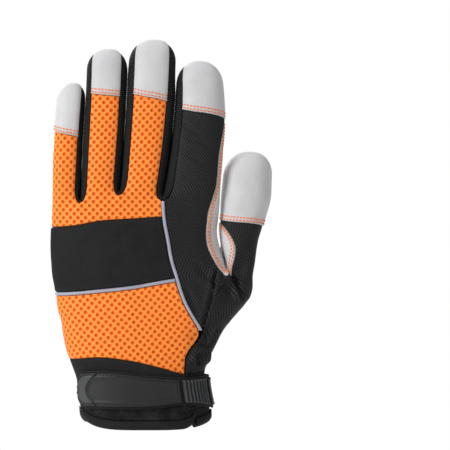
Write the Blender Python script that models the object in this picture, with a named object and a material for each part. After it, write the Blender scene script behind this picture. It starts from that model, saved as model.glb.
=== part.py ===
"""Left-hand work glove with leather fingertips, spacer-mesh back, knuckle band and strapped cuff.

Frame: origin at the middle of the wrist opening, at the rim. +Z runs to the fingertips,
+X to the thumb side, +Y to the palm, so the back of the hand faces -Y.
"""
import math

import bmesh
import bpy
import numpy as np

# Driving sizes, in metres.
glove_length = 0.250        # rim to the tip of the middle finger
palm_width = 0.106          # across the hand above the thumb
palm_depth = 0.040          # back to palm, hand opened out by the padding
seam_gap = 0.00045          # clearance between neighbouring panels
layer_gap = 0.0003          # clearance under a piece sewn on top
pile_gap = 0.00045          # clearance under the pile on the cuff
leather_wall = 0.0013
mesh_wall = 0.0026
band_wall = 0.0030
knit_wall = 0.0016
cuff_wall = 0.0030
fourchette_wall = 0.0012
fourchette_sink = 0.0002    # the strips between the fingers lie this far under the panels
cap_raise = 0.0004          # fingertip caps stand this far proud
band_raise = 0.0010
piping_width = 0.0022
piping_raise = 0.0008
piping_wall = 0.0022
finger_ramp = 0.011         # height over which a finger leaves the hand
thumb_ramp = 0.024
section_power = 0.86        # 1 is an ellipse, less is boxier
dome_power = 2.25
seam_angle = math.radians(43)       # where back and palm panels stop on a finger
saddle_angle = math.radians(58)     # where the saddle patch starts round the hand's side
thumb_seam_angle = math.radians(118)
dome_turn = math.radians(79)        # of the dome, where its closing seam begins
strip_clearance = 0.00065   # between a crotch's strip and the panels it joins
strap_thickness = 0.0020
badge_thickness = 0.0020
badge_inset = 0.0016
rib_height = 0.0007
rib_count = 9
groove_depth = 0.0008
loop_thickness = 0.0010
pad_thickness = 0.0030
pad_edge_thickness = 0.0010
pad_length = 0.045
pad_width = 0.0245
pad_lean = math.radians(25.5)
tab_thickness = 0.0012
tab_top_width = 0.017
rim_roll = 0.0060           # height of the rim's binding
rim_floor = 0.0037          # how high the cuff's lower edge stands in the binding
rim_wall = 0.0010           # how far the binding stands off the cuff
rim_clearance = 0.0006      # between the binding and a piece that ends above it
cuff_slit = math.radians(0.5)       # half the slit between the cuff's back and palm
panel_edge = 0.003          # least width of the index panel that its seam gap is taken from

# Places as shares of glove_length.
thumb_leather_start = 0.262
index_knit_start = 0.268
thumb_knit_start = 0.155
side_piping_ends = (0.252, 0.583)
strap_level = 0.1           # where the wrist's section is taken for the strap
pile_top = 0.128
tab_top = 0.229

# Places and lengths as shares of palm_width.
outer_span = 0.16           # width of a column at the hand's outer seams
thumb_span = 0.5            # width of the thumb's knit round its outer side
wrist_radius = 0.42         # turns an angle round the wrist into a length
pile_ends = (-0.33, 0.40)
pad_place = (0.066, 0.348)  # the second a share of glove_length
tab_half = (0.1085, 0.0915)     # half width at the rim and at the top
tab_middle = (-0.040, -0.097)   # middle at the rim and at the top

# The hand's outline by height. Heights are shares of glove_length, the three edges shares of
# palm_width, the half depth a share of palm_depth.
# height, ulnar edge, radial edge with the thumb base, radial edge of the palm, half depth
hand_rows = np.array([
    (0.000, -0.377, 0.392, 0.392, 0.638),
    (0.040, -0.396, 0.390, 0.390, 0.625),
    (0.088, -0.412, 0.370, 0.370, 0.612),
    (0.124, -0.414, 0.358, 0.358, 0.600),
    (0.160, -0.442, 0.370, 0.370, 0.582),
    (0.200, -0.477, 0.415, 0.415, 0.565),
    (0.240, -0.497, 0.458, 0.458, 0.555),
    (0.278, -0.509, 0.525, 0.500, 0.550),
    (0.304, -0.528, 0.579, 0.515, 0.550),
    (0.328, -0.536, 0.625, 0.520, 0.550),
    (0.360, -0.543, 0.655, 0.520, 0.545),
    (0.392, -0.557, 0.662, 0.507, 0.535),
    (0.428, -0.564, 0.676, 0.474, 0.510),
    (0.472, -0.569, 0.686, 0.443, 0.475),
    (0.496, -0.568, 0.700, 0.436, 0.450),
    (0.548, -0.565, 0.730, 0.446, 0.395),
    (0.600, -0.562, 0.755, 0.455, 0.352),
    (0.700, -0.560, 0.780, 0.455, 0.330)])

# Where one finger's column meets the next on the back of the hand, shares as above. The third
# border carries the side piping, the fourth the thumb's seam.
# height, little and ring, ring and middle, middle and index, index and thumb
back_borders = np.array([
    (0.140, -0.292, -0.028, 0.249, 0.249),
    (0.160, -0.300, -0.028, 0.250, 0.250),
    (0.190, -0.315, -0.030, 0.262, 0.262),
    (0.212, -0.325, -0.036, 0.294, 0.296),
    (0.236, -0.338, -0.044, 0.330, 0.340),
    (0.252, -0.344, -0.050, 0.336, 0.356),
    (0.278, -0.354, -0.066, 0.306, 0.370),
    (0.304, -0.362, -0.082, 0.270, 0.386),
    (0.328, -0.368, -0.094, 0.242, 0.412),
    (0.356, -0.372, -0.106, 0.218, 0.450),
    (0.388, -0.376, -0.120, 0.196, 0.500),
    (0.432, -0.380, -0.132, 0.164, 0.497),
    (0.484, -0.386, -0.142, 0.142, 0.490),
    (0.528, -0.389, -0.147, 0.122, 0.485),
    (0.600, -0.392, -0.155, 0.109, 0.480),
    (0.700, -0.392, -0.155, 0.109, 0.480)])

# The same on the palm, with the seam where the thumb's leather meets its knit last.
palm_borders = np.array([
    (0.140, -0.292, -0.130, 0.060, 0.150, 0.150),
    (0.164, -0.300, -0.135, 0.066, 0.158, 0.158),
    (0.200, -0.318, -0.140, 0.074, 0.206, 0.206),
    (0.228, -0.330, -0.143, 0.080, 0.230, 0.232),
    (0.250, -0.340, -0.145, 0.086, 0.252, 0.268),
    (0.280, -0.350, -0.148, 0.092, 0.278, 0.321),
    (0.320, -0.362, -0.150, 0.098, 0.310, 0.373),
    (0.370, -0.372, -0.152, 0.102, 0.354, 0.425),
    (0.420, -0.382, -0.154, 0.106, 0.408, 0.476),
    (0.464, -0.388, -0.155, 0.108, 0.450, 0.520),
    (0.520, -0.392, -0.155, 0.109, 0.462, 0.540),
    (0.632, -0.392, -0.155, 0.109, 0.465, 0.540),
    (0.720, -0.392, -0.155, 0.109, 0.465, 0.540)])

# Crotches between little and ring, ring and middle, middle and index, index and thumb:
# heights on the back and on the palm, shares of glove_length.
crotch_rows = np.array([
    (0.580, 0.604),
    (0.600, 0.632),
    (0.588, 0.632),
    (0.388, 0.464)])

# Digits from little to thumb. root, tip, dome and the cap's seam are shares of glove_length,
# curl and the half depths shares of palm_depth.
# root height, tip height, dome height, half depth at root, at tip, lean at root, curl at tip,
# cap seam at the ulnar side, cap seam at the radial side
digit_rows = np.array([
    (0.600, 0.888, 0.046, 0.250, 0.225, 0.00, 0.26, 0.766, 0.748),
    (0.600, 0.976, 0.056, 0.290, 0.275, 0.00, 0.31, 0.860, 0.852),
    (0.600, 1.000, 0.060, 0.300, 0.290, 0.00, 0.31, 0.859, 0.840),
    (0.600, 0.944, 0.060, 0.300, 0.285, 0.00, 0.28, 0.819, 0.795),
    (0.388, 0.710, 0.062, 0.420, 0.310, 0.10, 0.20, 0.536, 0.516)])

# Each digit's middle line and half width along its length, shares of palm_width.
# share of the way from root to tip, middle, half width
digit_tracks = [
    np.array([(0.0, -0.480, 0.0825), (0.3, -0.472, 0.0870), (0.6, -0.462, 0.0860), (1.0, -0.443, 0.0840)]),
    np.array([(0.0, -0.273, 0.1140), (0.3, -0.257, 0.1205), (0.6, -0.2425, 0.1235), (1.0, -0.231, 0.1235)]),
    np.array([(0.0, -0.0231, 0.1269), (0.3, 0.0085, 0.1385), (0.6, 0.031, 0.1440), (1.0, 0.047, 0.1430)]),
    np.array([(0.0, 0.285, 0.1690), (0.3, 0.313, 0.1595), (0.6, 0.332, 0.1500), (1.0, 0.325, 0.1330)]),
    np.array([(0.0, 0.592, 0.074), (0.125, 0.581, 0.093), (0.26, 0.570, 0.115), (0.41, 0.583, 0.132),
              (0.5, 0.597, 0.137), (0.62, 0.611, 0.147), (0.78, 0.620, 0.145), (1.0, 0.635, 0.137)])]

# Edges of the back's panels: x as a share of palm_width, heights as shares of glove_length.
# x, top of the cuff, lower edge of the piping, lower edge of the band, top of the band
back_edges = np.array([
    (-0.60, 0.172, 0.340, 0.349, 0.516),
    (-0.45, 0.178, 0.342, 0.351, 0.519),
    (-0.27, 0.184, 0.349, 0.358, 0.532),
    (-0.06, 0.174, 0.359, 0.368, 0.538),
    (0.10, 0.158, 0.371, 0.380, 0.543),
    (0.25, 0.142, 0.381, 0.390, 0.547),
    (0.40, 0.150, 0.390, 0.399, 0.550)])

# x, top of the cuff on the palm
palm_edges = np.array([
    (-0.60, 0.172),
    (-0.31, 0.182),
    (-0.22, 0.164),
    (0.02, 0.158),
    (0.16, 0.164),
    (0.40, 0.150)])

# Soft dents of the surface. Side is -1 for the back and 1 for the palm, x, reach across and
# drop are shares of palm_width, the height and reach along shares of glove_length, lean in degrees.
# side, x, height, reach across, reach along, drop, lean
dent_rows = np.array([
    (1, -0.02, 0.400, 0.240, 0.110, 0.038, 0),
    (1, 0.33, 0.450, 0.050, 0.060, 0.024, 20),
    (-1, 0.545, 0.385, 0.045, 0.080, 0.040, -28),
    (-1, 0.350, 0.225, 0.055, 0.035, 0.024, 35),
    (-1, -0.16, 0.440, 0.200, 0.060, -0.014, 0)])

# The strap, shares of palm_width and glove_length: x, lower edge, upper edge on the back.
strap_rows = np.array([
    (-0.45, 0.056, 0.146),
    (-0.20, 0.054, 0.152),
    (0.05, 0.056, 0.140),
    (0.25, 0.064, 0.134),
    (0.40, 0.052, 0.138)])
strap_start = -0.398        # ulnar end, x as a share of palm_width
strap_palm_end = 0.285      # end on the palm
badge_end = 0.205
rib_start = 0.222
rib_end = 0.345
groove_at = 0.13            # share of the badge's length


def remove_all():
    for item in list(bpy.data.objects):
        bpy.data.objects.remove(item, do_unlink=True)


def smooth(share):
    share = np.clip(share, 0.0, 1.0)
    return share * share * (3.0 - 2.0 * share)


def arc(share):
    """Rises straight up at 0 and levels off at 1, like a quarter circle."""
    share = np.clip(share, 0.0, 1.0)
    return np.sqrt(1.0 - (1.0 - share) ** 2)


def mix(low, high, share):
    return low + (high - low) * share


def spower(value, power):
    return np.sign(value) * np.abs(value) ** power


def table(rows, column, at):
    """Smooth curve through one column of a table, by its first column."""
    keys = rows[:, 0]
    values = rows[:, column]
    slopes = np.gradient(values, keys)
    at = np.clip(at, keys[0], keys[-1])
    index = np.clip(np.searchsorted(keys, at, side="right") - 1, 0, len(keys) - 2)
    step = keys[index + 1] - keys[index]
    t = (at - keys[index]) / step
    return ((2 * t ** 3 - 3 * t ** 2 + 1) * values[index] + (t ** 3 - 2 * t ** 2 + t) * step * slopes[index]
            + (3 * t ** 2 - 2 * t ** 3) * values[index + 1] + (t ** 3 - t ** 2) * step * slopes[index + 1])


def hand_size(height, whole):
    """Middle, half width and half depth of the hand's section."""
    share = height / glove_length
    left = table(hand_rows, 1, share) * palm_width
    right = table(hand_rows, 2 if whole else 3, share) * palm_width
    return (left + right) / 2, (right - left) / 2, table(hand_rows, 4, share) * palm_depth


def section(half_width, half_depth, angle, depth):
    """A point of a rounded section, moved inwards along its normal by depth. Angle 0 is the
    back, 90 degrees the thumb side: x = a |sin|^p, y = -b |cos|^p, normal (|sin|^q / a, |cos|^q / b)
    with q = 2 - p."""
    across = np.sin(angle)
    down = np.cos(angle)
    normal_x = spower(across, 2.0 - section_power) * half_depth
    normal_y = spower(down, 2.0 - section_power) * half_width
    length = np.sqrt(normal_x ** 2 + normal_y ** 2)
    x = half_width * spower(across, section_power) - depth * normal_x / length
    y = half_depth * spower(down, section_power) - depth * normal_y / length
    return x, -y


def hand_ring(height, angle, depth, whole):
    middle, half_width, half_depth = hand_size(height, whole)
    x, y = section(half_width, half_depth, angle, depth)
    return middle + x, y


def hand_angle(height, x, whole):
    """The angle from the back, or from the palm, at which the section reaches x."""
    middle, half_width, half_depth = hand_size(height, whole)
    share = np.clip((x - middle) / half_width, -0.9999, 0.9999)
    return np.arcsin(spower(share, 1.0 / section_power))


def digit_size(digit, height):
    root, tip, dome, depth_root, depth_tip, lean, curl = digit_rows[digit, :7]
    along = (height / glove_length - root) / (tip - root)
    track = digit_tracks[digit]
    middle = table(track, 1, along) * palm_width
    half_width = table(track, 2, along) * palm_width
    held = np.clip(along, 0.0, 1.0)
    half_depth = mix(depth_root, depth_tip, held) * palm_depth
    y = (lean + curl * held ** 1.7) * palm_depth
    return middle, y, half_width, half_depth


def dome_share(digit, height):
    tip, dome = digit_rows[digit, 1:3] * glove_length
    return np.clip((height - (tip - dome)) / dome, 0.0, 1.0)


def dome_closing(digit, height):
    return (1.0 - dome_share(digit, height) ** dome_power) ** (1.0 / dome_power)


def digit_ring(digit, height, angle, depth):
    """A point of a digit's section, which closes to a dome at the tip."""
    middle, y, half_width, half_depth = digit_size(digit, height)
    closing = dome_closing(digit, height)
    out, down = section(half_width * closing, half_depth * closing, angle, depth * closing)
    return middle + out, y + down


def crotch(border, palm):
    return crotch_rows[border, 1 if palm else 0] * glove_length


def border_x(border, height, palm):
    """x of the line between two columns: borders 1 to 3 between fingers, 4 at the thumb,
    5 at the palm's thumb seam."""
    return table(palm_borders if palm else back_borders, border, height / glove_length) * palm_width


def seam_edge(digit, radial, palm, height):
    """The angle, from the panel's own middle, at which a digit's panel ends at one side."""
    tip, dome = digit_rows[digit, 1:3] * glove_length
    side = math.pi / 2
    shut = tip - dome * (1.0 - math.sin(dome_turn * 3 / dome_cells))
    start = tip - 1.7 * dome
    closing = np.clip((height - start) / (shut - start), 0.0, 1.0) ** 1.6
    if digit == 0 and not radial:
        return side + 0 * height
    if digit == 3 and radial:
        return saddle_edge(height, digit_rows[3, 8] * glove_length, 2.2 * finger_ramp)
    if digit == 4 and not radial:
        return saddle_edge(height, digit_rows[4, 7] * glove_length, 1.5 * finger_ramp)
    if digit == 4:
        return mix(math.pi - thumb_seam_angle if palm else thumb_seam_angle, side, closing)
    return mix(seam_angle, side, closing)


def saddle_edge(height, top, reach):
    """The saddle patch narrows to a round end under the cap at top."""
    closing = np.clip((height - top + reach) / reach, 0.0, 1.0) ** 1.6
    return mix(saddle_angle, math.pi / 2, closing)


def lowered(height, line, reach, depth):
    """The inside of a crotch lies under its outside by the wall's depth."""
    return height - depth * (1.0 - smooth(np.abs(height - line) / (1.2 * reach)))


def tip_height(digit, height, depth):
    dome = digit_rows[digit, 2] * glove_length
    return height - depth * dome_share(digit, height)


def relief(x, y, z):
    """The soft dents of the palm and back, which fade out towards the sides."""
    shift = np.zeros_like(x + y + z)
    for side, at_x, at_z, across, along, drop, lean in dent_rows:
        dx = (x - at_x * palm_width)
        dz = (z - at_z * glove_length)
        turn = math.radians(lean)
        u = (dx * math.cos(turn) + dz * math.sin(turn)) / (across * palm_width)
        v = (dz * math.cos(turn) - dx * math.sin(turn)) / (along * glove_length)
        facing = smooth(side * y / (0.35 * palm_depth))
        shift -= side * drop * palm_width * np.exp(-u * u - v * v) * facing
    return y + shift


def column(digit, palm, share, height, depth, parted=1.0):
    """A point of one digit's column on the back or palm, from the cuff to the fingertip.
    share runs 0 to 1 from the ulnar border to the radial one; parted leaves the piping's width."""
    share, height, depth = np.broadcast_arrays(share, height, depth)
    flip = -1.0 if palm else 1.0
    turn = math.pi if palm else 0.0
    side = math.pi / 2
    hand = []
    for whole in (True, False):
        if digit == 0:
            left = -side + 0 * height
        elif digit == 4 and palm:
            left = hand_angle(height, border_x(4, height, palm), whole)
        else:
            left = hand_angle(height, border_x(digit, height, palm)
                              + parted * wide_at(digit, height, palm), whole)
        if digit < 3:
            right = hand_angle(height, border_x(digit + 1, height, palm)
                               - parted * wide_at(digit + 1, height, palm), whole)
        elif digit == 3:
            right = hand_angle(height, border_x(4, height, palm), True) if whole else saddle_angle + 0 * height
        else:
            seam = hand_angle(height, border_x(5, height, True), True)
            right = seam if palm else math.pi - seam
        angle = mix(left, right, share)
        x, y = hand_ring(height, turn + flip * angle, depth, whole)
        hand.append(np.stack(np.broadcast_arrays(x, y)))
    web = crotch(3, palm)
    if digit == 4:      # back and palm blend at one height where they meet on the thumb's outer side
        web = mix(web, (crotch(3, False) + crotch(3, True)) / 2, share)
    rise = height - web
    near = share ** 3 if digit == 3 else ((1.0 - share) ** 3 if digit == 4 else 0.0 * share)
    soft = smooth((rise + thumb_ramp) / (2 * thumb_ramp))
    thumb_blend = mix(soft, arc(rise / thumb_ramp), near)
    z = lowered(height, web, thumb_ramp, depth * near)
    finger_angle = mix(-seam_edge(digit, False, palm, height), seam_edge(digit, True, palm, height), share)
    own = np.stack(digit_ring(digit, height, turn + flip * finger_angle, depth))
    if digit == 4:
        point = mix(hand[0], own, thumb_blend)
    else:
        point = mix(hand[0], hand[1], thumb_blend)
        left_line = crotch(max(digit - 1, 0), palm)
        right_line = crotch(min(digit, 2), palm)
        line = mix(left_line, right_line, share)
        near = (share ** 3 if digit < 3 else 0.0) + ((1.0 - share) ** 3 if digit > 0 else 0.0)
        rise = height - line
        finger_blend = mix(smooth((rise + finger_ramp) / (2 * finger_ramp)), arc(rise / finger_ramp), near)
        point = mix(point, own, finger_blend)
        z = np.where(height > (web + left_line) / 2, lowered(height, line, finger_ramp, depth * near), z)
    z = z + tip_height(digit, height, depth) - height
    return np.stack([point[0], relief(point[0], point[1], z), z], axis=-1)


def wide_at(border, height, palm):
    """The side piping takes half its width from the columns beside it."""
    if palm or border != 3:
        return 0.0 * height
    fade = smooth((height / glove_length - 0.240) / 0.020)
    return 1.6 * seam_gap + (piping_width / 2 - 0.6 * seam_gap) * fade


def strip(border, upper, share, back_height, palm_height, depth):
    """A point of the strip that lines a crotch. share runs from the back's seam to the palm's,
    each of which has its own heights; upper takes the digit on the radial side."""
    digit = border + 1 if upper else border
    radial = not upper
    whole = border == 3
    reach = thumb_ramp if whole else finger_ramp
    back_angle = seam_edge(digit, radial, False, back_height)
    palm_angle = math.pi - seam_edge(digit, radial, True, palm_height)
    # the strip stays clear of the panels at both of its seams
    half_depth = digit_size(digit, back_height)[3] * dome_closing(digit, back_height)
    inset = strip_clearance / ((palm_angle - back_angle) * half_depth)
    share = inset + (1.0 - 2.0 * inset) * share
    line = mix(crotch(border, False), crotch(border, True), share)
    height = mix(back_height, palm_height, share)
    ends = []
    for palm, at in ((False, back_height), (True, palm_height)):
        angle = hand_angle(at, border_x(border + 1, at, palm), whole)
        turned = math.pi - angle if palm else angle
        ends.append(np.stack(hand_ring(at, turned, depth, whole)))
    web = mix(ends[0], ends[1], share)
    angle = mix(back_angle, palm_angle, share) * (1.0 if radial else -1.0)
    tube = np.stack(digit_ring(digit, height, angle, depth))
    if digit == 3 and whole:
        hand_side = mix(saddle_angle, math.pi - saddle_angle, share)
        palm_side = np.stack(hand_ring(height, hand_side, depth, False))
        finger_line = mix(crotch(2, False), crotch(2, True), share)
        tube = mix(palm_side, tube, smooth((height - finger_line + finger_ramp) / (2 * finger_ramp)))
    point = mix(web, tube, arc((height - line) / reach))
    z = lowered(height, line, reach, depth)
    z = z + tip_height(digit, height, depth) - height
    return np.stack([point[0], relief(point[0], point[1], z), z], axis=-1)


def share_at(digit, palm, x, height):
    """How far across a column the surface reaches x."""
    low = np.zeros_like(x + height)
    high = np.ones_like(low)
    for _ in range(26):
        middle = (low + high) / 2
        before = column(digit, palm, middle, height, 0.0, 0.0)[..., 0] < x
        low = np.where(before, middle, low)
        high = np.where(before, high, middle)
    return (low + high) / 2


def surface(palm, x, height, depth):
    """A point of the back or palm below the fingers, by x and height."""
    x, height, depth = np.broadcast_arrays(x, height, depth)
    point = np.zeros(x.shape + (3,))
    for digit in range(5):
        start = border_x(digit, height, palm) if digit else np.full(x.shape, -1.0)
        end = border_x(digit + 1, height, palm) if digit < 4 else np.full(x.shape, 1.0)
        inside = (x >= start) & (x < end)
        if inside.any():
            share = share_at(digit, palm, x[inside], height[inside])
            point[inside] = column(digit, palm, share, height[inside], depth[inside], 0.0)
    return point


def wrist(angle, height, depth):
    """A point round the wrist, all the way about."""
    x, y = hand_ring(height, angle, depth, True)
    x, y, z = np.broadcast_arrays(x, y, height)
    return np.stack([x, relief(x, y, z), z], axis=-1)


# Materials: colour, roughness, metallic.
looks = {
    "leather": ((0.66, 0.66, 0.67), 0.62, 0.0),
    "mesh": ((0.95, 0.22, 0.03), 0.75, 0.0),
    "knit": ((0.020, 0.021, 0.023), 0.85, 0.0),
    "neoprene": ((0.024, 0.025, 0.027), 0.80, 0.0),
    "piping": ((0.36, 0.36, 0.42), 0.45, 0.0),
    "rubber": ((0.062, 0.066, 0.070), 0.55, 0.0),
    "webbing": ((0.022, 0.022, 0.024), 0.85, 0.0)}


def material(name, look):
    colour, roughness, metallic = looks[look]
    item = bpy.data.materials.new(name)
    item.use_nodes = True
    shader = item.node_tree.nodes["Principled BSDF"]
    shader.inputs["Base Color"].default_value = (*colour, 1.0)
    shader.inputs["Roughness"].default_value = roughness
    shader.inputs["Metallic"].default_value = metallic
    item.diffuse_color = (*colour, 1.0)
    return item


def solid(name, look, grids):
    """One closed piece from (outer, inner) pairs of point grids, welded where they meet."""
    outer = []
    inner = []
    quads = []
    for out, back in grids:
        rows, columns = out.shape[:2]
        start = sum(len(part) for part in outer)
        index = start + np.arange(rows * columns).reshape(rows, columns)
        quads.append(np.stack([index[:-1, :-1], index[:-1, 1:], index[1:, 1:], index[1:, :-1]], axis=-1).reshape(-1, 4))
        outer.append(out.reshape(-1, 3))
        inner.append(back.reshape(-1, 3))
    outer = np.concatenate(outer)
    inner = np.concatenate(inner)
    quads = np.concatenate(quads)
    keys = np.round(outer * 2e5).astype(np.int64)
    unique, first, weld = np.unique(keys, axis=0, return_index=True, return_inverse=True)
    weld = weld.reshape(-1)
    outer = outer[first]
    inner = inner[first]
    faces = []
    edges = {}
    for quad in weld[quads]:
        face = []
        for vertex in quad:
            if not face or vertex != face[-1]:
                face.append(int(vertex))
        if face[0] == face[-1]:
            face.pop()
        if len(set(face)) < 3:
            continue
        faces.append(face)
        for a, b in zip(face, face[1:] + face[:1]):
            edges[(a, b)] = edges.get((a, b), 0) + 1
    count = len(outer)
    all_faces = list(faces)
    all_faces += [[v + count for v in reversed(face)] for face in faces]
    all_faces += [[b, a, a + count, b + count] for a, b in edges if (b, a) not in edges]
    mesh = bpy.data.meshes.new(name)
    mesh.from_pydata(np.concatenate([outer, inner]).tolist(), [], all_faces)
    return finish(name, look, mesh)


def finish(name, look, mesh):
    shape = bmesh.new()
    shape.from_mesh(mesh)
    bmesh.ops.triangulate(shape, faces=shape.faces[:])
    bmesh.ops.recalc_face_normals(shape, faces=shape.faces[:])
    if shape.calc_volume(signed=True) < 0:
        bmesh.ops.reverse_faces(shape, faces=shape.faces[:])
    shape.to_mesh(mesh)
    shape.free()
    mesh.shade_smooth()
    mesh.set_sharp_from_angle(angle=math.radians(40))
    mesh.materials.append(material(name, look))
    item = bpy.data.objects.new(name, mesh)
    bpy.context.scene.collection.objects.link(item)
    return item


def steps(count):
    return np.linspace(0.0, 1.0, count + 1)


across_cells = 5            # across one finger's column
dome_cells = 5


def line_at(edges, column_index, digit, palm, share, guess):
    """Height of a panel's edge at a column's own x."""
    height = guess + 0.0 * share
    for _ in range(5):
        x = column(digit, palm, share, height, 0.0)[..., 0]
        height = table(edges, column_index, x / palm_width) * glove_length
    return height


def cap_line(digit, share):
    left, right = digit_rows[digit, 7:9] * glove_length
    return mix(left, right, share)


def digit_line(digit, palm, share):
    """The crotch's height across a digit's column."""
    if digit == 4:
        return crotch(3, palm) + 0.0 * share
    return mix(crotch(max(digit - 1, 0), palm), crotch(min(digit, 2), palm), share)


def web_rows(palm, share):
    """Index column, from the thumb's crotch to the fingers' line."""
    return mix(crotch(3, palm), digit_line(3, palm, share), steps(5)[:, None] ** 1.3)


def finger_rows(digit, palm, share):
    """From the crotch to the cap's seam, close together at the crotch."""
    return mix(digit_line(digit, palm, share), cap_line(digit, share), steps(6)[:, None] ** 1.6)


def cap_rows(digit, share):
    """From the cap's seam to where the dome's closing seam begins."""
    tip, dome = digit_rows[digit, 1:3] * glove_length
    lower = mix(cap_line(digit, share), tip - dome, steps(2)[:, None])
    upper = tip - dome + dome * np.sin(dome_turn * steps(dome_cells)[1:, None])
    return np.concatenate([lower, upper + 0 * share])


def close_dome(digit, grid, palm, depth):
    """Adds the last row of a dome, along the seam over the tip."""
    y = digit_size(digit, np.array(digit_rows[digit, 1] * glove_length))[1]
    row = grid[-1].copy()
    row[1:-1, 1] = y + (1.0 if palm else -1.0) * seam_gap / 2
    row[1:-1, 2] = digit_rows[digit, 1] * glove_length - depth
    return np.concatenate([grid, row[None]])


def trimmed(digit, palm, share, rows):
    """Shares pulled in from the seams, so that panels which meet there keep their gap."""
    half_depth = digit_size(digit, rows)[3] * dome_closing(digit, rows)
    run = seam_edge(digit, False, palm, rows) + seam_edge(digit, True, palm, rows)
    inset = seam_gap / 2 / (np.maximum(half_depth, 4 * seam_gap) * run)
    return inset + (1.0 - 2.0 * inset) * share


def held_in(share, left, right, span):
    """Shares pulled in from the hand's outer seams only."""
    inset = seam_gap / 2 / span
    return inset * left + (1.0 - inset * (left + right)) * share


def pair(digit, palm, shares, rows, proud, wall, dome):
    outer = column(digit, palm, shares, rows, -proud)
    inner = column(digit, palm, shares, rows, wall)
    if dome:
        outer = close_dome(digit, outer, palm, -proud)
        inner = close_dome(digit, inner, palm, wall)
    return outer, inner


def build_caps():
    names = ["little_tip", "ring_tip", "middle_tip", "index_tip", "thumb_tip"]
    for digit, name in enumerate(names):
        share = steps(7 if digit == 4 else 6)
        rows = cap_rows(digit, share)
        rows[0] += seam_gap / 2
        shares = trimmed(digit, False, share + 0 * rows, rows)
        solid(name, "leather", [pair(digit, False, shares, rows, cap_raise, leather_wall, True)])


def build_palm():
    grids = []
    for digit in range(4):
        share = steps(across_cells)
        web = crotch(3, True)
        low = line_at(palm_edges, 1, digit, True, share, 0.17 * glove_length) + seam_gap / 2
        line = digit_line(digit, True, share)
        under = mix(low, web, steps(5)[:, None])
        over = mix(web, line, steps(5)[1:, None] ** 1.3)
        rows = np.concatenate([under, over, finger_rows(digit, True, share)[1:], cap_rows(digit, share)[1:]])
        shares = held_in(share, digit == 0, digit == 3, outer_span * palm_width) + 0 * rows
        own = trimmed(digit, True, share + 0 * rows, rows)
        shares = mix(shares, own, smooth((rows - line - finger_ramp) / finger_ramp))
        grids.append(pair(digit, True, shares, rows, 0.0, leather_wall, True))
    solid("palm_leather", "leather", grids)


def build_thumb_leather():
    share = steps(6)
    web = crotch(3, True)
    below = mix(thumb_leather_start * glove_length, web, steps(5)[:, None]) + 0 * share
    rows = np.concatenate([below, finger_rows(4, True, share)[1:], cap_rows(4, share)[1:]])
    narrow = border_x(5, rows, True) - border_x(4, rows, True)
    inset = np.minimum(seam_gap / 2 / np.maximum(narrow, 0.5 * seam_gap), 0.3)
    shares = mix(inset + (1.0 - 2.0 * inset) * share, trimmed(4, True, share + 0 * rows, rows),
                 smooth((rows - web) / thumb_ramp))
    solid("thumb_leather", "leather", [pair(4, True, shares, rows, 0.0, leather_wall, True)])


def build_mesh_upper():
    grids = []
    for digit in range(3):
        share = steps(across_cells)
        low = line_at(back_edges, 4, digit, False, share, 0.53 * glove_length) + seam_gap / 2
        upper = finger_rows(digit, False, share)
        upper[-1] -= seam_gap / 2
        rows = np.concatenate([mix(low, upper[0], steps(3)[:, None]), upper[1:]])
        shares = held_in(share, digit == 0, False, outer_span * palm_width) + 0 * rows
        grids.append(pair(digit, False, shares, rows, 0.0, mesh_wall, False))
    solid("mesh_upper", "mesh", grids)


def back_panel(name, look, low_column, high_column, row_count, proud, wall):
    """A panel across the three finger columns of the back, between two edge lines."""
    grids = []
    for digit in range(3):
        share = steps(across_cells)
        guess = 0.35 * glove_length
        low = line_at(back_edges, low_column, digit, False, share, guess) + seam_gap / 2
        high = line_at(back_edges, high_column, digit, False, share, guess) - seam_gap / 2
        rows = mix(low, high, steps(row_count)[:, None])
        shares = held_in(share, digit == 0, False, outer_span * palm_width) + 0 * rows
        grids.append(pair(digit, False, shares, rows, proud, wall, False))
    solid(name, look, grids)


def build_index_back():
    share = steps(across_cells)
    web = crotch(3, False)
    below = mix(index_knit_start * glove_length, web, steps(4)[:, None]) + 0 * share
    rows = np.concatenate([below, web_rows(False, share)[1:], finger_rows(3, False, share)[1:]])
    rows[-1] -= seam_gap / 2
    width = np.maximum(border_x(4, rows, False) - border_x(3, rows, False), panel_edge)
    fade = 1.0 - smooth((rows - web) / thumb_ramp)
    shares = share * (1.0 - seam_gap / 2 / width * fade)
    solid("index_back_knit", "knit", [pair(3, False, shares, rows, 0.0, knit_wall, False)])


def build_thumb_back():
    share = steps(8)
    low = thumb_knit_start * glove_length + 0.0 * share
    for _ in range(5):
        point = column(4, False, share, low, 0.0)
        x = point[..., 0] / palm_width
        edge = np.where(point[..., 1] > 0, table(palm_edges, 1, x), table(back_edges, 1, x))
        low = edge * glove_length + 1.2 * seam_gap
    web = crotch(3, False)
    upper = finger_rows(4, False, share)
    upper[-1] -= seam_gap / 2
    rows = np.concatenate([mix(low, web, steps(8)[:, None]), upper[1:]])
    shares = held_in(share, rows < web + 1e-9, 1.2, thumb_span * palm_width)
    solid("thumb_back_knit", "knit", [pair(4, False, shares, rows, 0.0, knit_wall, False)])


def strip_rows(border, upper, palm):
    """Heights down one leg of a crotch's strip, the same as in the panels beside it."""
    digit = border + 1 if upper else border
    share = np.array([0.0 if upper else 1.0])
    if border < 3:
        rows = np.concatenate([finger_rows(digit, palm, share), cap_rows(digit, share)[1:5]])
    elif upper:
        rows = finger_rows(4, palm, share)[:-1]
    else:
        rows = np.concatenate([web_rows(palm, share), finger_rows(3, palm, share)[1:-1]])
    return rows


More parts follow.
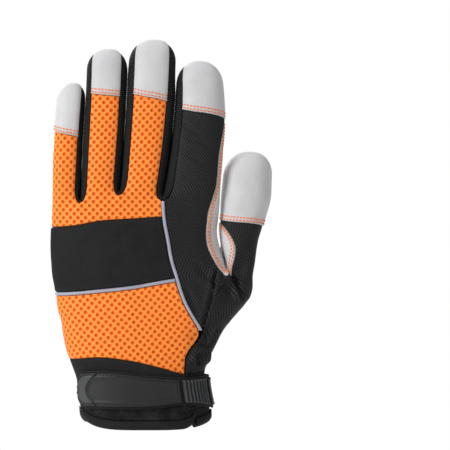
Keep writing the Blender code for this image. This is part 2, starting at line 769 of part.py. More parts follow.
def build_strips():
    names = ["fourchette_little_ring", "fourchette_ring_middle", "fourchette_middle_index", "saddle_patch"]
    for border, name in enumerate(names):
        leather = border == 3
        sunk = 0.0 if leather else fourchette_sink
        wall = leather_wall if leather else fourchette_wall
        share = steps(4)
        legs = []
        for upper in (False, True):
            back = strip_rows(border, upper, False)
            palm = strip_rows(border, upper, True)
            legs.append([strip(border, upper, share + 0 * back, back + 0 * share, palm + 0 * share, depth)
                         for depth in (sunk, wall + sunk)])
        outer, inner = [np.concatenate([legs[0][side][::-1], legs[1][side][1:]]) for side in (0, 1)]
        solid(name, "leather" if leather else "knit", [(outer, inner)])


def build_piping():
    half = piping_width / 2
    # along the band's lower edge
    grids = []
    for digit in range(3):
        share = steps(across_cells)
        low = line_at(back_edges, 2, digit, False, share, 0.35 * glove_length) + seam_gap / 2
        high = line_at(back_edges, 3, digit, False, share, 0.35 * glove_length) - seam_gap / 2
        rows = mix(low, high, steps(2)[:, None])
        shares = held_in(share, digit == 0, False, outer_span * palm_width) + 0 * rows
        crown = np.array([0.3, 1.0, 0.3])[:, None] * piping_raise
        grids.append((column(digit, False, shares, rows, -crown), column(digit, False, shares, rows, piping_wall)))
    solid("piping_band", "piping", grids)
    # down the side
    height = mix(*side_piping_ends, steps(22))[:, None] * glove_length
    offset = np.linspace(-half, half, 3)[None, :]
    x = border_x(3, height, False) + offset
    crown = np.array([0.3, 1.0, 0.3])[None, :] * piping_raise
    outer = surface(False, x, height + 0 * x, -crown + 0 * height)
    inner = surface(False, x, height + 0 * x, piping_wall + 0 * x)
    solid("piping_side", "piping", [(outer, inner)])


def wrist_panel(name, look, angles, low, high, outer_depth, inner_depth, row_count=3):
    rows = mix(low, high, steps(row_count)[:, None])
    angle = np.broadcast_to(angles, rows.shape)
    return solid(name, look, [(wrist(angle, rows, outer_depth), wrist(angle, rows, inner_depth))])


def build_cuff():
    small = cuff_slit
    side = math.pi / 2
    low = rim_floor
    for name, start, end, edges in (
            ("cuff_back", -side + small, side - small, back_edges),
            ("cuff_palm", side + small, 3 * side - small, palm_edges)):
        angle = lattice(start, end)
        x = hand_ring(0.16 * glove_length, angle, 0.0, True)[0]
        high = table(edges, 1, x / palm_width) * glove_length - seam_gap / 2
        wrist_panel(name, "neoprene", angle, low + 0 * angle, high, 0.0, cuff_wall, 6)


def build_rim():
    small = cuff_slit
    side = math.pi / 2
    gap = layer_gap
    for name, start, end in (("rim_binding_back", -side + small, side - small),
                             ("rim_binding_palm", side + small, 3 * side - small)):
        angle = lattice(start, end)[None, :]
        # a channel that takes the cuff's lower edge between its two lips
        lip = rim_wall + gap
        deep = cuff_wall + gap
        floor = rim_floor - gap
        depths = np.array([-gap, -gap, deep, deep, deep + rim_wall, deep, -gap, -lip])
        heights = np.array([rim_roll, floor, floor, rim_roll, 0.3 * rim_roll, 0.0, 0.0, 0.3 * rim_roll])
        ring = [wrist(angle[0], np.full(angle.shape[1], z), d) for d, z in zip(depths, heights)]
        sweep(name, "webbing", np.stack(ring))


def sweep(name, look, rings):
    """A solid bar from section points (first axis) carried along a path (second axis)."""
    count, length = rings.shape[:2]
    index = np.arange(count * length).reshape(count, length)
    faces = []
    for i in range(count):
        j = (i + 1) % count
        for k in range(length - 1):
            faces.append([int(index[i, k]), int(index[j, k]), int(index[j, k + 1]), int(index[i, k + 1])])
    faces.append([int(v) for v in index[:, 0]][::-1])
    faces.append([int(v) for v in index[:, -1]])
    mesh = bpy.data.meshes.new(name)
    mesh.from_pydata(rings.reshape(-1, 3).tolist(), [], faces)
    return finish(name, look, mesh)


def lattice(start, end, cells=20):
    """Angles round the wrist at fixed steps, so that layers follow each other's facets."""
    step = math.pi / cells
    inside = np.arange(math.ceil(start / step), math.floor(end / step) + 1) * step
    inside = inside[(inside > start + 0.2 * step) & (inside < end - 0.2 * step)]
    return np.concatenate([[start], inside, [end]])


def strap_angles(start, end_on_palm, count):
    """Angles from the ulnar end on the back, round the thumb side, to the end on the palm."""
    height = strap_level * glove_length
    first = float(hand_angle(height, start * palm_width, True))
    last = math.pi - float(hand_angle(height, end_on_palm * palm_width, True))
    return mix(first, last, steps(count))


def strap_band(angle, inset, start, end, round_start, round_end):
    """Lower and upper edges along the strap, with rounded ends."""
    x = hand_ring(strap_level * glove_length, angle, 0.0, True)[0] / palm_width
    x = np.where(angle > math.pi / 2, 0.40, x)
    low = table(strap_rows, 1, x) * glove_length + inset
    high = table(strap_rows, 2, x) * glove_length - inset
    middle = (low + high) / 2
    half = (high - low) / 2
    path = (angle - start) / (end - start)
    length = wrist_radius * palm_width * (end - start)
    squeeze = np.ones_like(angle)
    if round_start:
        reach = np.clip(path * length / half, 0.0, 1.0)
        squeeze = np.minimum(squeeze, np.sqrt(np.maximum(1.0 - (1.0 - reach) ** 2, 0.06)))
    if round_end:
        reach = np.clip((1.0 - path) * length / half, 0.0, 1.0)
        squeeze = np.minimum(squeeze, np.sqrt(np.maximum(1.0 - (1.0 - reach) ** 2, 0.06)))
    return middle - half * squeeze, middle + half * squeeze


def build_strap():
    loop_top = pile_gap + loop_thickness
    strap_low = loop_top + pile_gap
    strap_top = strap_low + strap_thickness
    first, last = strap_angles(strap_start, strap_palm_end, 1)
    inside = lattice(first, last)
    cell = inside[2] - inside[1]
    ends = cell * np.array([0.15, 0.4, 0.8])
    inside = inside[(inside > first + 1.1 * cell) & (inside < last - 1.1 * cell)]
    angle = np.concatenate([[first], first + ends, inside, last - ends[::-1], [last]])
    low, high = strap_band(angle, 0.0, first, last, True, True)
    wrist_panel("wrist_strap", "webbing", angle, low, high, -strap_top, -strap_low, 3)
    # the pile patch under the strap, sewn to the cuff
    height = strap_level * glove_length
    a = float(hand_angle(height, pile_ends[0] * palm_width, True))
    b = float(hand_angle(height, pile_ends[1] * palm_width, True))
    angle = lattice(a, b)
    wrist_panel("loop_patch", "webbing", angle, np.full(angle.shape, rim_roll + rim_clearance),
                np.full(angle.shape, pile_top * glove_length), -loop_top, -pile_gap, 4)
    # the moulded badge, with its groove
    badge_low = strap_top + layer_gap
    a = first + badge_inset / (wrist_radius * palm_width)
    b = float(hand_angle(height, badge_end * palm_width, True))
    angle = lattice(a, b, 40)
    near = cell * np.array([0.08, 0.2, 0.4])
    angle = np.concatenate([[a], a + near, angle[angle > a + 0.5 * cell]])
    low, high = strap_band(angle, badge_inset, a, b, True, False)
    rows = mix(low, high, steps(3)[:, None])
    turned = np.broadcast_to(angle, rows.shape)
    path = (turned - a) / (b - a)
    groove = np.exp(-((path - groove_at) / 0.02) ** 2) * groove_depth
    solid("strap_badge", "rubber", [(wrist(turned, rows, -(badge_low + badge_thickness) + groove),
                                     wrist(turned, rows, -badge_low))])
    # the ribbed plate beside it
    a = float(hand_angle(height, rib_start * palm_width, True))
    b = float(hand_angle(height, rib_end * palm_width, True))
    angle = mix(a, b, steps(4 * rib_count))
    low, high = strap_band(angle, badge_inset, a, b, False, False)
    rows = mix(low, high, steps(1)[:, None])
    turned = np.broadcast_to(angle, rows.shape)
    wave = np.where(np.arange(4 * rib_count + 1) % 4 < 2, 0.0, rib_height)
    plate = badge_low + badge_thickness - rib_height
    solid("badge_ribs", "rubber", [(wrist(turned, rows, -(plate + wave[None, :])), wrist(turned, rows, -badge_low))])


def build_pad():
    """The padded heel patch: a rounded rectangle that swells in the middle."""
    count = 24
    turn = 2 * math.pi * steps(count)[:-1]
    centre = (pad_place[0] * palm_width, pad_place[1] * glove_length)
    rings_outer = []
    rings_inner = []
    for reach in (1.0, 0.9, 0.7, 0.4):
        u = reach * pad_length / 2 * spower(np.cos(turn), 0.42)
        v = reach * pad_width / 2 * spower(np.sin(turn), 0.42)
        x = centre[0] + u * math.sin(pad_lean) + v * math.cos(pad_lean)
        z = centre[1] + u * math.cos(pad_lean) - v * math.sin(pad_lean)
        swell = mix(pad_edge_thickness, pad_thickness, smooth((1.0 - reach) * 2.2))
        rings_outer.append(surface(True, x, z, np.full(count, -(layer_gap + swell))))
        rings_inner.append(surface(True, x, z, np.full(count, -layer_gap)))
    patch_rings("heel_pad", "leather", rings_outer, rings_inner, centre, True)


def patch_rings(name, look, outer, inner, centre, palm):
    """A closed patch from nested rings with a middle point on each face."""
    count = len(outer[0])
    x = np.array([centre[0]])
    z = np.array([centre[1]])
    top = surface(palm, x, z, np.array([-(layer_gap + pad_thickness)]))
    under = surface(palm, x, z, np.array([-layer_gap]))
    points = np.concatenate(outer + [top] + inner + [under])
    rings = len(outer)
    base = rings * count + 1
    faces = []
    for start in (0, base):
        for ring in range(rings - 1):
            for k in range(count):
                a = start + ring * count + k
                b = start + ring * count + (k + 1) % count
                face = [a, b, b + count, a + count]
                faces.append(face if start == 0 else face[::-1])
        for k in range(count):
            a = start + (rings - 1) * count + k
            b = start + (rings - 1) * count + (k + 1) % count
            face = [a, b, start + rings * count]
            faces.append(face if start == 0 else face[::-1])
    for k in range(count):
        faces.append([k, base + k, base + (k + 1) % count, (k + 1) % count])
    mesh = bpy.data.meshes.new(name)
    mesh.from_pydata(points.tolist(), [], [[int(v) for v in face] for face in faces])
    return finish(name, look, mesh)


def build_tab():
    """The wrist tab on the palm: round at the top, widening to the rim."""
    top = tab_top * glove_length
    low = rim_roll + rim_clearance
    share = steps(10)
    height = mix(low, top, share)
    half = mix(*tab_half, share) * palm_width
    reach = (top - height) / (tab_top_width / 2)
    half = half * np.where(reach < 1.0, np.sqrt(np.maximum(1.0 - (1.0 - np.clip(reach, 0, 1)) ** 2, 0.05)), 1.0)
    middle = mix(*tab_middle, share) * palm_width
    across = mix(-1.0, 1.0, steps(6))
    x = middle[:, None] + half[:, None] * across[None, :]
    z = np.broadcast_to(height[:, None], x.shape)
    solid("wrist_tab", "leather", [(surface(True, x, z, -(layer_gap + tab_thickness)), surface(True, x, z, -layer_gap))])


def main():
    remove_all()
    build_caps()
    build_palm()
    build_thumb_leather()
    build_mesh_upper()
    back_panel("knuckle_band", "neoprene", 3, 4, 4, band_raise, band_wall)
    back_panel("mesh_lower", "mesh", 1, 2, 6, 0.0, mesh_wall)
    build_index_back()
    build_thumb_back()
    build_strips()
    build_piping()
    build_cuff()
    build_rim()
    build_strap()
    build_pad()
    build_tab()


main()
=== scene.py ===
import math

import bpy
import numpy as np
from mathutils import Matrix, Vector


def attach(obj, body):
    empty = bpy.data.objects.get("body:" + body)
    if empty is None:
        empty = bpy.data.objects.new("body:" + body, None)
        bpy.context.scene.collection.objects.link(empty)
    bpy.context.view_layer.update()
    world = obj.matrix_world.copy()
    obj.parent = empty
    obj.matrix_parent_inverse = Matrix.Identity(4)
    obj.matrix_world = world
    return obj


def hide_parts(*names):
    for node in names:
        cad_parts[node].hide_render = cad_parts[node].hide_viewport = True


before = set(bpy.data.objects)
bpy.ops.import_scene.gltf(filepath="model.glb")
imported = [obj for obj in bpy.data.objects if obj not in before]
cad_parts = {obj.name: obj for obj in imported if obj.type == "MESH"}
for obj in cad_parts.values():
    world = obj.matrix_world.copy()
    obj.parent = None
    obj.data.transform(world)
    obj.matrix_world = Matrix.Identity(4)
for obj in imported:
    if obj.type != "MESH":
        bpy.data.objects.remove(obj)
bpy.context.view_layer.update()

# Left-hand work glove. Metres; +Z to the fingertips, +X to the thumb, +Y to the palm.
gloveLength = 0.250
palmWidth = 0.106
palmDepth = 0.040
fingerRamp = 0.011      # height over which a finger leaves the hand
thumbRamp = 0.024
sectionPower = 0.86     # 1 is an ellipse, less is boxier
domePower = 2.25
seamAngle = math.radians(43)
saddleAngle = math.radians(58)
thumbSeamAngle = math.radians(118)
domeTurn = math.radians(79)
sideSeamEnd = 0.95      # share of the dome's turn at which a finger's side seams meet
side = math.pi / 2
seamGap = 0.00004       # between two panels
slitX = 0.0325          # where the cuff's slit runs on the back, beside the thumb
cornerReach = 0.0085

# height, ulnar edge, radial edge with the thumb base, radial edge of the palm, half depth
handRows = np.array([
    (0.000, -0.377, 0.392, 0.392, 0.638), (0.040, -0.396, 0.390, 0.390, 0.625),
    (0.088, -0.412, 0.370, 0.370, 0.612), (0.124, -0.414, 0.358, 0.358, 0.600),
    (0.160, -0.442, 0.370, 0.370, 0.582), (0.200, -0.477, 0.415, 0.415, 0.565),
    (0.240, -0.497, 0.458, 0.458, 0.555), (0.278, -0.509, 0.525, 0.500, 0.550),
    (0.304, -0.528, 0.579, 0.515, 0.550), (0.328, -0.536, 0.625, 0.520, 0.550),
    (0.360, -0.543, 0.655, 0.520, 0.545), (0.392, -0.557, 0.662, 0.507, 0.535),
    (0.428, -0.564, 0.676, 0.474, 0.510), (0.472, -0.569, 0.686, 0.443, 0.475),
    (0.496, -0.568, 0.700, 0.436, 0.450), (0.548, -0.565, 0.730, 0.446, 0.395),
    (0.600, -0.562, 0.755, 0.455, 0.352), (0.700, -0.560, 0.780, 0.455, 0.330)])

# height, then where little and ring, ring and middle, middle and index, index and thumb meet
backBorders = np.array([
    (0.140, -0.292, -0.028, 0.249, 0.249), (0.160, -0.300, -0.028, 0.250, 0.250),
    (0.190, -0.315, -0.030, 0.262, 0.262), (0.212, -0.325, -0.036, 0.294, 0.296),
    (0.236, -0.338, -0.044, 0.330, 0.340), (0.252, -0.344, -0.050, 0.336, 0.356),
    (0.278, -0.354, -0.066, 0.306, 0.370), (0.304, -0.362, -0.082, 0.270, 0.386),
    (0.328, -0.368, -0.094, 0.242, 0.412), (0.356, -0.372, -0.106, 0.218, 0.450),
    (0.388, -0.376, -0.120, 0.196, 0.500), (0.432, -0.380, -0.132, 0.164, 0.497),
    (0.484, -0.386, -0.142, 0.142, 0.490), (0.528, -0.389, -0.147, 0.122, 0.485),
    (0.600, -0.392, -0.155, 0.109, 0.480), (0.700, -0.392, -0.155, 0.109, 0.480)])

# the same on the palm, with the seam between the thumb's leather and its knit last
palmBorders = np.array([
    (0.140, -0.292, -0.130, 0.060, 0.150, 0.150), (0.164, -0.300, -0.135, 0.066, 0.158, 0.158),
    (0.200, -0.318, -0.140, 0.074, 0.206, 0.206), (0.228, -0.330, -0.143, 0.080, 0.230, 0.232),
    (0.250, -0.340, -0.145, 0.086, 0.252, 0.268), (0.280, -0.350, -0.148, 0.092, 0.278, 0.321),
    (0.320, -0.362, -0.150, 0.098, 0.310, 0.373), (0.370, -0.372, -0.152, 0.102, 0.354, 0.425),
    (0.420, -0.382, -0.154, 0.106, 0.408, 0.476), (0.464, -0.388, -0.155, 0.108, 0.450, 0.520),
    (0.520, -0.392, -0.155, 0.109, 0.462, 0.540), (0.632, -0.392, -0.155, 0.109, 0.465, 0.540),
    (0.720, -0.392, -0.155, 0.109, 0.465, 0.540)])

# crotches from little-ring to index-thumb: height on the back, height on the palm
crotchRows = np.array([(0.580, 0.604), (0.600, 0.632), (0.588, 0.632), (0.388, 0.464)])

# root, tip, dome, half depth at root and tip, lean, curl, cap seam at the ulnar and radial side
digitRows = np.array([
    (0.600, 0.888, 0.046, 0.250, 0.225, 0.00, 0.26, 0.766, 0.748),
    (0.600, 0.976, 0.056, 0.290, 0.275, 0.00, 0.31, 0.860, 0.852),
    (0.600, 1.000, 0.060, 0.300, 0.290, 0.00, 0.31, 0.859, 0.840),
    (0.600, 0.944, 0.060, 0.300, 0.285, 0.00, 0.28, 0.819, 0.795),
    (0.388, 0.710, 0.062, 0.420, 0.310, 0.10, 0.20, 0.536, 0.516)])

# share of the way up, middle, half width
digitTracks = [
    np.array([(0.0, -0.480, 0.0825), (0.3, -0.472, 0.0870), (0.6, -0.462, 0.0860), (1.0, -0.443, 0.0840)]),
    np.array([(0.0, -0.273, 0.1140), (0.3, -0.257, 0.1205), (0.6, -0.2425, 0.1235), (1.0, -0.231, 0.1235)]),
    np.array([(0.0, -0.0231, 0.1269), (0.3, 0.0085, 0.1385), (0.6, 0.031, 0.1440), (1.0, 0.047, 0.1430)]),
    np.array([(0.0, 0.285, 0.1690), (0.3, 0.313, 0.1595), (0.6, 0.332, 0.1500), (1.0, 0.325, 0.1330)]),
    np.array([(0.0, 0.592, 0.074), (0.125, 0.581, 0.093), (0.26, 0.570, 0.115), (0.41, 0.583, 0.132),
              (0.5, 0.597, 0.137), (0.62, 0.611, 0.147), (0.78, 0.620, 0.145), (1.0, 0.635, 0.137)])]

# x, cuff top, lower edge of the piping, lower edge of the band, top of the band
backEdges = np.array([
    (-0.60, 0.172, 0.340, 0.349, 0.516), (-0.45, 0.178, 0.342, 0.351, 0.519),
    (-0.27, 0.184, 0.349, 0.358, 0.532), (-0.06, 0.174, 0.359, 0.368, 0.538),
    (0.10, 0.158, 0.371, 0.380, 0.543), (0.25, 0.142, 0.381, 0.390, 0.547),
    (0.40, 0.150, 0.390, 0.399, 0.550)])
palmEdges = np.array([(-0.60, 0.172), (-0.31, 0.182), (-0.22, 0.164), (0.02, 0.158), (0.16, 0.164),
                      (0.40, 0.150)])

# side, x, height, reach across, reach along, drop, lean
dentRows = np.array([
    (1, -0.02, 0.400, 0.240, 0.110, 0.038, 0), (1, 0.33, 0.450, 0.050, 0.060, 0.024, 20),
    (-1, 0.545, 0.385, 0.045, 0.080, 0.040, -28), (-1, 0.350, 0.225, 0.055, 0.035, 0.024, 35),
    (-1, -0.16, 0.440, 0.200, 0.060, -0.014, 0)])

# x, lower edge, upper edge of the strap
strapRows = np.array([
    (-0.45, 0.056, 0.146), (-0.20, 0.054, 0.152), (0.05, 0.056, 0.140), (0.25, 0.064, 0.134),
    (0.40, 0.052, 0.138)])

# height, angle of the saddle leather's edge on the thumb's back: it swells out into a lobe
lobeRows = np.array([
    (0.388, 56), (0.405, 42), (0.430, 20), (0.465, 8), (0.495, 24), (0.518, 52), (0.534, 84), (0.540, 90)])

# creases, in millimetres: side, from x, z, to x, z, half width, depth
creaseRows = np.array([
    (1, -34, 148, -49, 104, 3.2, 1.80), (1, -33, 153, -39, 140, 2.4, 1.30),
    (1, -21, 146, -37, 106, 2.8, 1.10),
    (1, -6, 140, -26, 108, 2.4, 0.80), (1, 10, 138, -8, 112, 2.2, 0.60), (1, -44, 108, -28, 88, 2.6, 0.90),
    (1, 30, 112, 40, 92, 1.9, 1.30), (1, 40, 119, 26, 108, 2.0, 1.20), (1, 37, 113, 24, 100, 1.6, 0.90),
    (1, 42, 124, 27, 120, 1.4, 1.00), (1, -48, 72, -20, 66, 2.0, 1.00), (1, -46, 62, -18, 57, 1.3, 0.80),
    (1, -44, 54, -16, 51, 1.2, 0.70), (1, 10, 64, 30, 58, 1.6, 0.90), (1, 8, 56, 27, 50, 1.2, 0.70),
    (1, -58, 176, -42, 172, 2.0, 0.50), (1, -36, 178, -18, 176, 2.4, 0.60), (1, -10, 184, 14, 182, 2.4, 0.50),
    (1, 22, 178, 44, 176, 2.4, 0.50), (1, -36, 206, -18, 205, 2.0, 0.35), (1, 52, 132, 66, 120, 2.0, 0.80),
    (1, 54, 122, 66, 110, 1.8, 0.70), (1, 50, 104, 62, 96, 1.6, 0.70), (1, 52, 152, 74, 151, 2.2, 0.40),
    (-1, 22, 196, 38, 186, 1.6, 0.80), (-1, 24, 188, 44, 180, 1.5, 0.80), (-1, 24, 176, 36, 171, 1.3, 0.60),
    (-1, 33, 104, 50, 90, 2.2, 1.20), (-1, 46, 102, 45, 97, 1.2, 1.60), (-1, 45, 99, 44, 89, 1.2, 1.90),
    (-1, 44, 89, 40, 76, 1.3, 1.90), (-1, 40, 76, 37, 66, 1.3, 1.60), (-1, 51, 102, 62, 81, 1.8, -1.60),
    (-1, 54, 102, 65, 80, 1.5, 2.30), (-1, 29.5, 42, 34.5, 53, 1.6, -1.90),
    (-1, 34.5, 53, 41, 50, 1.5, -1.90),
    (-1, 41, 50, 40, 40, 1.5, -1.90), (-1, 34, 49, 35.5, 41, 1.7, 2.80), (-1, 42, 53, 47, 66, 1.3, 1.60),
    (-1, 38, 56, 41, 68, 1.3, 1.50), (-1, 26, 92, 34, 74, 1.8, 0.80), (-1, 50, 76, 52, 64, 1.5, 0.60),
    (-1, -36, 12.5, 30, 11.5, 1.0, 0.55), (-1, -38, 8.2, 34, 7.4, 0.8, 0.50)])


def smooth(share):
    share = np.clip(share, 0.0, 1.0)
    return share * share * (3.0 - 2.0 * share)


def arc(share):     # rises straight up at 0 and levels off at 1
    share = np.clip(share, 0.0, 1.0)
    return np.sqrt(1.0 - (1.0 - share) ** 2)


def mix(low, high, share):
    return low + (high - low) * share


def spower(value, power):
    return np.sign(value) * np.abs(value) ** power


def table(rows, column, at):    # cubic Hermite curve through one column of a table
    keys = rows[:, 0]
    values = rows[:, column]
    slopes = np.gradient(values, keys)
    at = np.clip(at, keys[0], keys[-1])
    index = np.clip(np.searchsorted(keys, at, side="right") - 1, 0, len(keys) - 2)
    step = keys[index + 1] - keys[index]
    t = (at - keys[index]) / step
    return ((2 * t ** 3 - 3 * t ** 2 + 1) * values[index] + (t ** 3 - 2 * t ** 2 + t) * step * slopes[index]
            + (3 * t ** 2 - 2 * t ** 3) * values[index + 1] + (t ** 3 - t ** 2) * step * slopes[index + 1])


def graded(length, cell, first, reach, lowEnd=True, highEnd=True):
    # shares from 0 to 1 whose steps are cell long in the middle and first at the ends
    x = np.linspace(0.0, length, 4001)
    away = np.full_like(x, length)
    if lowEnd:
        away = np.minimum(away, x)
    if highEnd:
        away = np.minimum(away, length - x)
    wanted = mix(first, cell, smooth(away / reach))
    count = np.concatenate([[0.0], np.cumsum((x[1] - x[0]) / ((wanted[1:] + wanted[:-1]) / 2))])
    total = max(int(math.ceil(count[-1])), 2)
    return np.interp(np.linspace(0.0, count[-1], total + 1), count, x) / length


def handSize(height, whole):
    # middle, half width and half depth of the hand's section, with the thumb's base or without it
    share = height / gloveLength
    left = table(handRows, 1, share) * palmWidth
    right = table(handRows, 2 if whole else 3, share) * palmWidth
    return (left + right) / 2, (right - left) / 2, table(handRows, 4, share) * palmDepth


def section(halfWidth, halfDepth, angle, depth):
    # superellipse x = a |sin|^p, y = -b |cos|^p, moved inwards along its normal by depth
    across = np.sin(angle)
    down = np.cos(angle)
    normalX = spower(across, 2.0 - sectionPower) * halfDepth
    normalY = spower(down, 2.0 - sectionPower) * halfWidth
    length = np.sqrt(normalX ** 2 + normalY ** 2)
    x = halfWidth * spower(across, sectionPower) - depth * normalX / length
    y = halfDepth * spower(down, sectionPower) - depth * normalY / length
    return x, -y


def handRing(height, angle, depth, whole):
    # the hand's section at an angle from the back's middle, moved to its place
    middle, halfWidth, halfDepth = handSize(height, whole)
    x, y = section(halfWidth, halfDepth, angle, depth)
    return middle + x, y


def handAngle(height, x, whole):    # the angle at which the hand's section reaches x
    middle, halfWidth, _ = handSize(height, whole)
    share = np.clip((x - middle) / halfWidth, -0.9999, 0.9999)
    return np.arcsin(spower(share, 1.0 / sectionPower))


def digitSize(digit, height):
    # middle, y of the axis, half width and half depth; the axis leans and curls by a power of the height
    root, tip, _, depthRoot, depthTip, lean, curl = digitRows[digit, :7]
    along = (height / gloveLength - root) / (tip - root)
    track = digitTracks[digit]
    middle = table(track, 1, along) * palmWidth
    halfWidth = table(track, 2, along) * palmWidth
    held = np.clip(along, 0.0, 1.0)
    return middle, (lean + curl * held ** 1.7) * palmDepth, halfWidth, mix(depthRoot, depthTip,
            held) * palmDepth


def domeShare(digit, height):
    # 0 below the tip's dome, 1 at its top
    tip, dome = digitRows[digit, 1:3] * gloveLength
    return np.clip((height - (tip - dome)) / dome, 0.0, 1.0)


def domeClosing(digit, height):
    # superellipse (1 - t^p)^(1/p) that closes the tip
    return (1.0 - domeShare(digit, height) ** domePower) ** (1.0 / domePower)


def digitRing(digit, height, angle, depth):
    # the digit's section, shrunk by the dome's closing
    middle, y, halfWidth, halfDepth = digitSize(digit, height)
    closing = domeClosing(digit, height)
    out, down = section(halfWidth * closing, halfDepth * closing, angle, depth * closing)
    return middle + out, y + down


def crotch(border, palm):
    # height of the web between two digits
    return crotchRows[border, 1 if palm else 0] * gloveLength


def borderX(border, height, palm):
    # x of the line between two columns
    return table(palmBorders if palm else backBorders, border, height / gloveLength) * palmWidth


def saddleEdge(height, top, reach):
    # the saddle leather's angle, closing to the side below its top
    closing = np.clip((height - top + reach) / reach, 0.0, 1.0) ** 1.6
    return mix(saddleAngle, side, closing)


def seamEdge(digit, radial, palm, height):  # the angle at which a digit's panel ends at one side
    tip, dome = digitRows[digit, 1:3] * gloveLength
    shut = tip - dome * (1.0 - math.sin(domeTurn * sideSeamEnd))
    start = tip - 1.7 * dome
    closing = np.clip((height - start) / (shut - start), 0.0, 1.0) ** 6
    if digit == 0 and not radial:
        return side + 0 * height
    if digit == 3 and radial:
        return saddleEdge(height, digitRows[3, 8] * gloveLength, 2.2 * fingerRamp)
    if digit == 4 and not radial:
        if not palm:
            return np.radians(table(lobeRows, 1, height / gloveLength))
        return saddleEdge(height, digitRows[4, 7] * gloveLength, 1.5 * fingerRamp)
    if digit == 4:
        return mix(math.pi - thumbSeamAngle if palm else thumbSeamAngle, side, closing)
    return mix(seamAngle, side, closing)


def lowered(height, line, reach, depth):
    # inner points lie lower near the web, by the wall's depth
    return height - depth * (1.0 - smooth(np.abs(height - line) / (1.2 * reach)))


def tipHeight(digit, height, depth):
    # inner points lie lower in the dome, by the wall's depth
    return height - depth * domeShare(digit, height)


def relief(x, y, z):    # soft dents, each a leaning bell of depth drop, on one side only
    shift = np.zeros_like(x + y + z)
    for facingSide, atX, atZ, across, along, drop, lean in dentRows:
        dx = x - atX * palmWidth
        dz = z - atZ * gloveLength
        turn = math.radians(lean)
        u = (dx * math.cos(turn) + dz * math.sin(turn)) / (across * palmWidth)
        v = (dz * math.cos(turn) - dx * math.sin(turn)) / (along * gloveLength)
        facing = smooth(facingSide * y / (0.35 * palmDepth))
        shift -= facingSide * drop * palmWidth * np.exp(-u * u - v * v) * facing
    return y + shift


def column(digit, palm, share, height, depth, parted=1.0):
    # one digit's column from cuff to fingertip: the hand's section below, the digit's own above,
    # blended by an arc at the crotch and softly in the middle
    share, height, depth = np.broadcast_arrays(share, height, depth)
    flip = -1.0 if palm else 1.0
    turn = math.pi if palm else 0.0
    hand = []
    for whole in (True, False):
        if digit == 0:
            left = -side + 0 * height
        elif digit == 4 and palm:
            left = handAngle(height, borderX(4, height, palm), whole)
        else:
            left = handAngle(height, borderX(digit, height, palm) + parted * wideAt(digit, height, palm),
                             whole)
        if digit < 3:
            right = handAngle(height, borderX(digit + 1, height, palm)
                              - parted * wideAt(digit + 1, height, palm), whole)
        elif digit == 3:
            right = handAngle(height, borderX(4, height, palm), True) if whole else saddleAngle + 0 * height
        else:
            seam = handAngle(height, borderX(5, height, True), True)
            right = seam if palm else math.pi - seam
        x, y = handRing(height, turn + flip * mix(left, right, share), depth, whole)
        hand.append(np.stack(np.broadcast_arrays(x, y)))
    web = crotch(3, palm)
    if digit == 4:      # back and palm blend at one height where they meet on the thumb's outer side
        web = mix(web, (crotch(3, False) + crotch(3, True)) / 2, share)
    rise = height - web
    near = share ** 3 if digit == 3 else ((1.0 - share) ** 3 if digit == 4 else 0.0 * share)
    soft = smooth((rise + thumbRamp) / (2 * thumbRamp))
    thumbBlend = mix(soft, arc(rise / thumbRamp), near)
    z = lowered(height, web, thumbRamp, depth * near)
    fingerAngle = mix(-seamEdge(digit, False, palm, height), seamEdge(digit, True, palm, height), share)
    own = np.stack(digitRing(digit, height, turn + flip * fingerAngle, depth))
    if digit == 4:
        point = mix(hand[0], own, thumbBlend)
    else:
        point = mix(hand[0], hand[1], thumbBlend)
        leftLine = crotch(max(digit - 1, 0), palm)
        line = mix(leftLine, crotch(min(digit, 2), palm), share)
        near = (share ** 3 if digit < 3 else 0.0) + ((1.0 - share) ** 3 if digit > 0 else 0.0)
        rise = height - line
        fingerBlend = mix(smooth((rise + fingerRamp) / (2 * fingerRamp)), arc(rise / fingerRamp), near)
        point = mix(point, own, fingerBlend)
        z = np.where(height > (web + leftLine) / 2, lowered(height, line, fingerRamp, depth * near), z)
    z = z + tipHeight(digit, height, depth) - height
    return np.stack([point[0], relief(point[0], point[1], z), z], axis=-1)


def wideAt(border, height, palm):   # the side piping takes half its width from the columns beside it
    if palm or border != 3:
        return 0.0 * height
    return 0.0006 + 0.0008 * smooth((height / gloveLength - 0.240) / 0.020)


def strip(border, upper, share, backHeight, palmHeight, depth):
    # the strip that lines a crotch: the web line below, round the digit's side above
    digit = border + 1 if upper else border
    radial = not upper
    whole = border == 3
    reach = thumbRamp if whole else fingerRamp
    backAngle = seamEdge(digit, radial, False, backHeight)
    palmAngle = math.pi - seamEdge(digit, radial, True, palmHeight)
    halfDepth = digitSize(digit, backHeight)[3] * domeClosing(digit, backHeight)
    inset = np.minimum(0.00010 / np.maximum((palmAngle - backAngle) * halfDepth, 1e-5), 0.45)
    share = inset + (1.0 - 2.0 * inset) * share
    line = mix(crotch(border, False), crotch(border, True), share)
    height = mix(backHeight, palmHeight, share)
    ends = []
    for palm, at in ((False, backHeight), (True, palmHeight)):
        angle = handAngle(at, borderX(border + 1, at, palm), whole)
        ends.append(np.stack(handRing(at, math.pi - angle if palm else angle, depth, whole)))
    web = mix(ends[0], ends[1], share)
    angle = mix(backAngle, palmAngle, share) * (1.0 if radial else -1.0)
    tube = np.stack(digitRing(digit, height, angle, depth))
    if digit == 3 and whole:
        handSide = mix(saddleAngle, math.pi - saddleAngle, share)
        palmSide = np.stack(handRing(height, handSide, depth, False))
        fingerLine = mix(crotch(2, False), crotch(2, True), share)
        tube = mix(palmSide, tube, smooth((height - fingerLine + fingerRamp) / (2 * fingerRamp)))
    point = mix(web, tube, arc((height - line) / reach))
    z = lowered(height, line, reach, depth)
    z = z + tipHeight(digit, height, depth) - height
    return np.stack([point[0], relief(point[0], point[1], z), z], axis=-1)


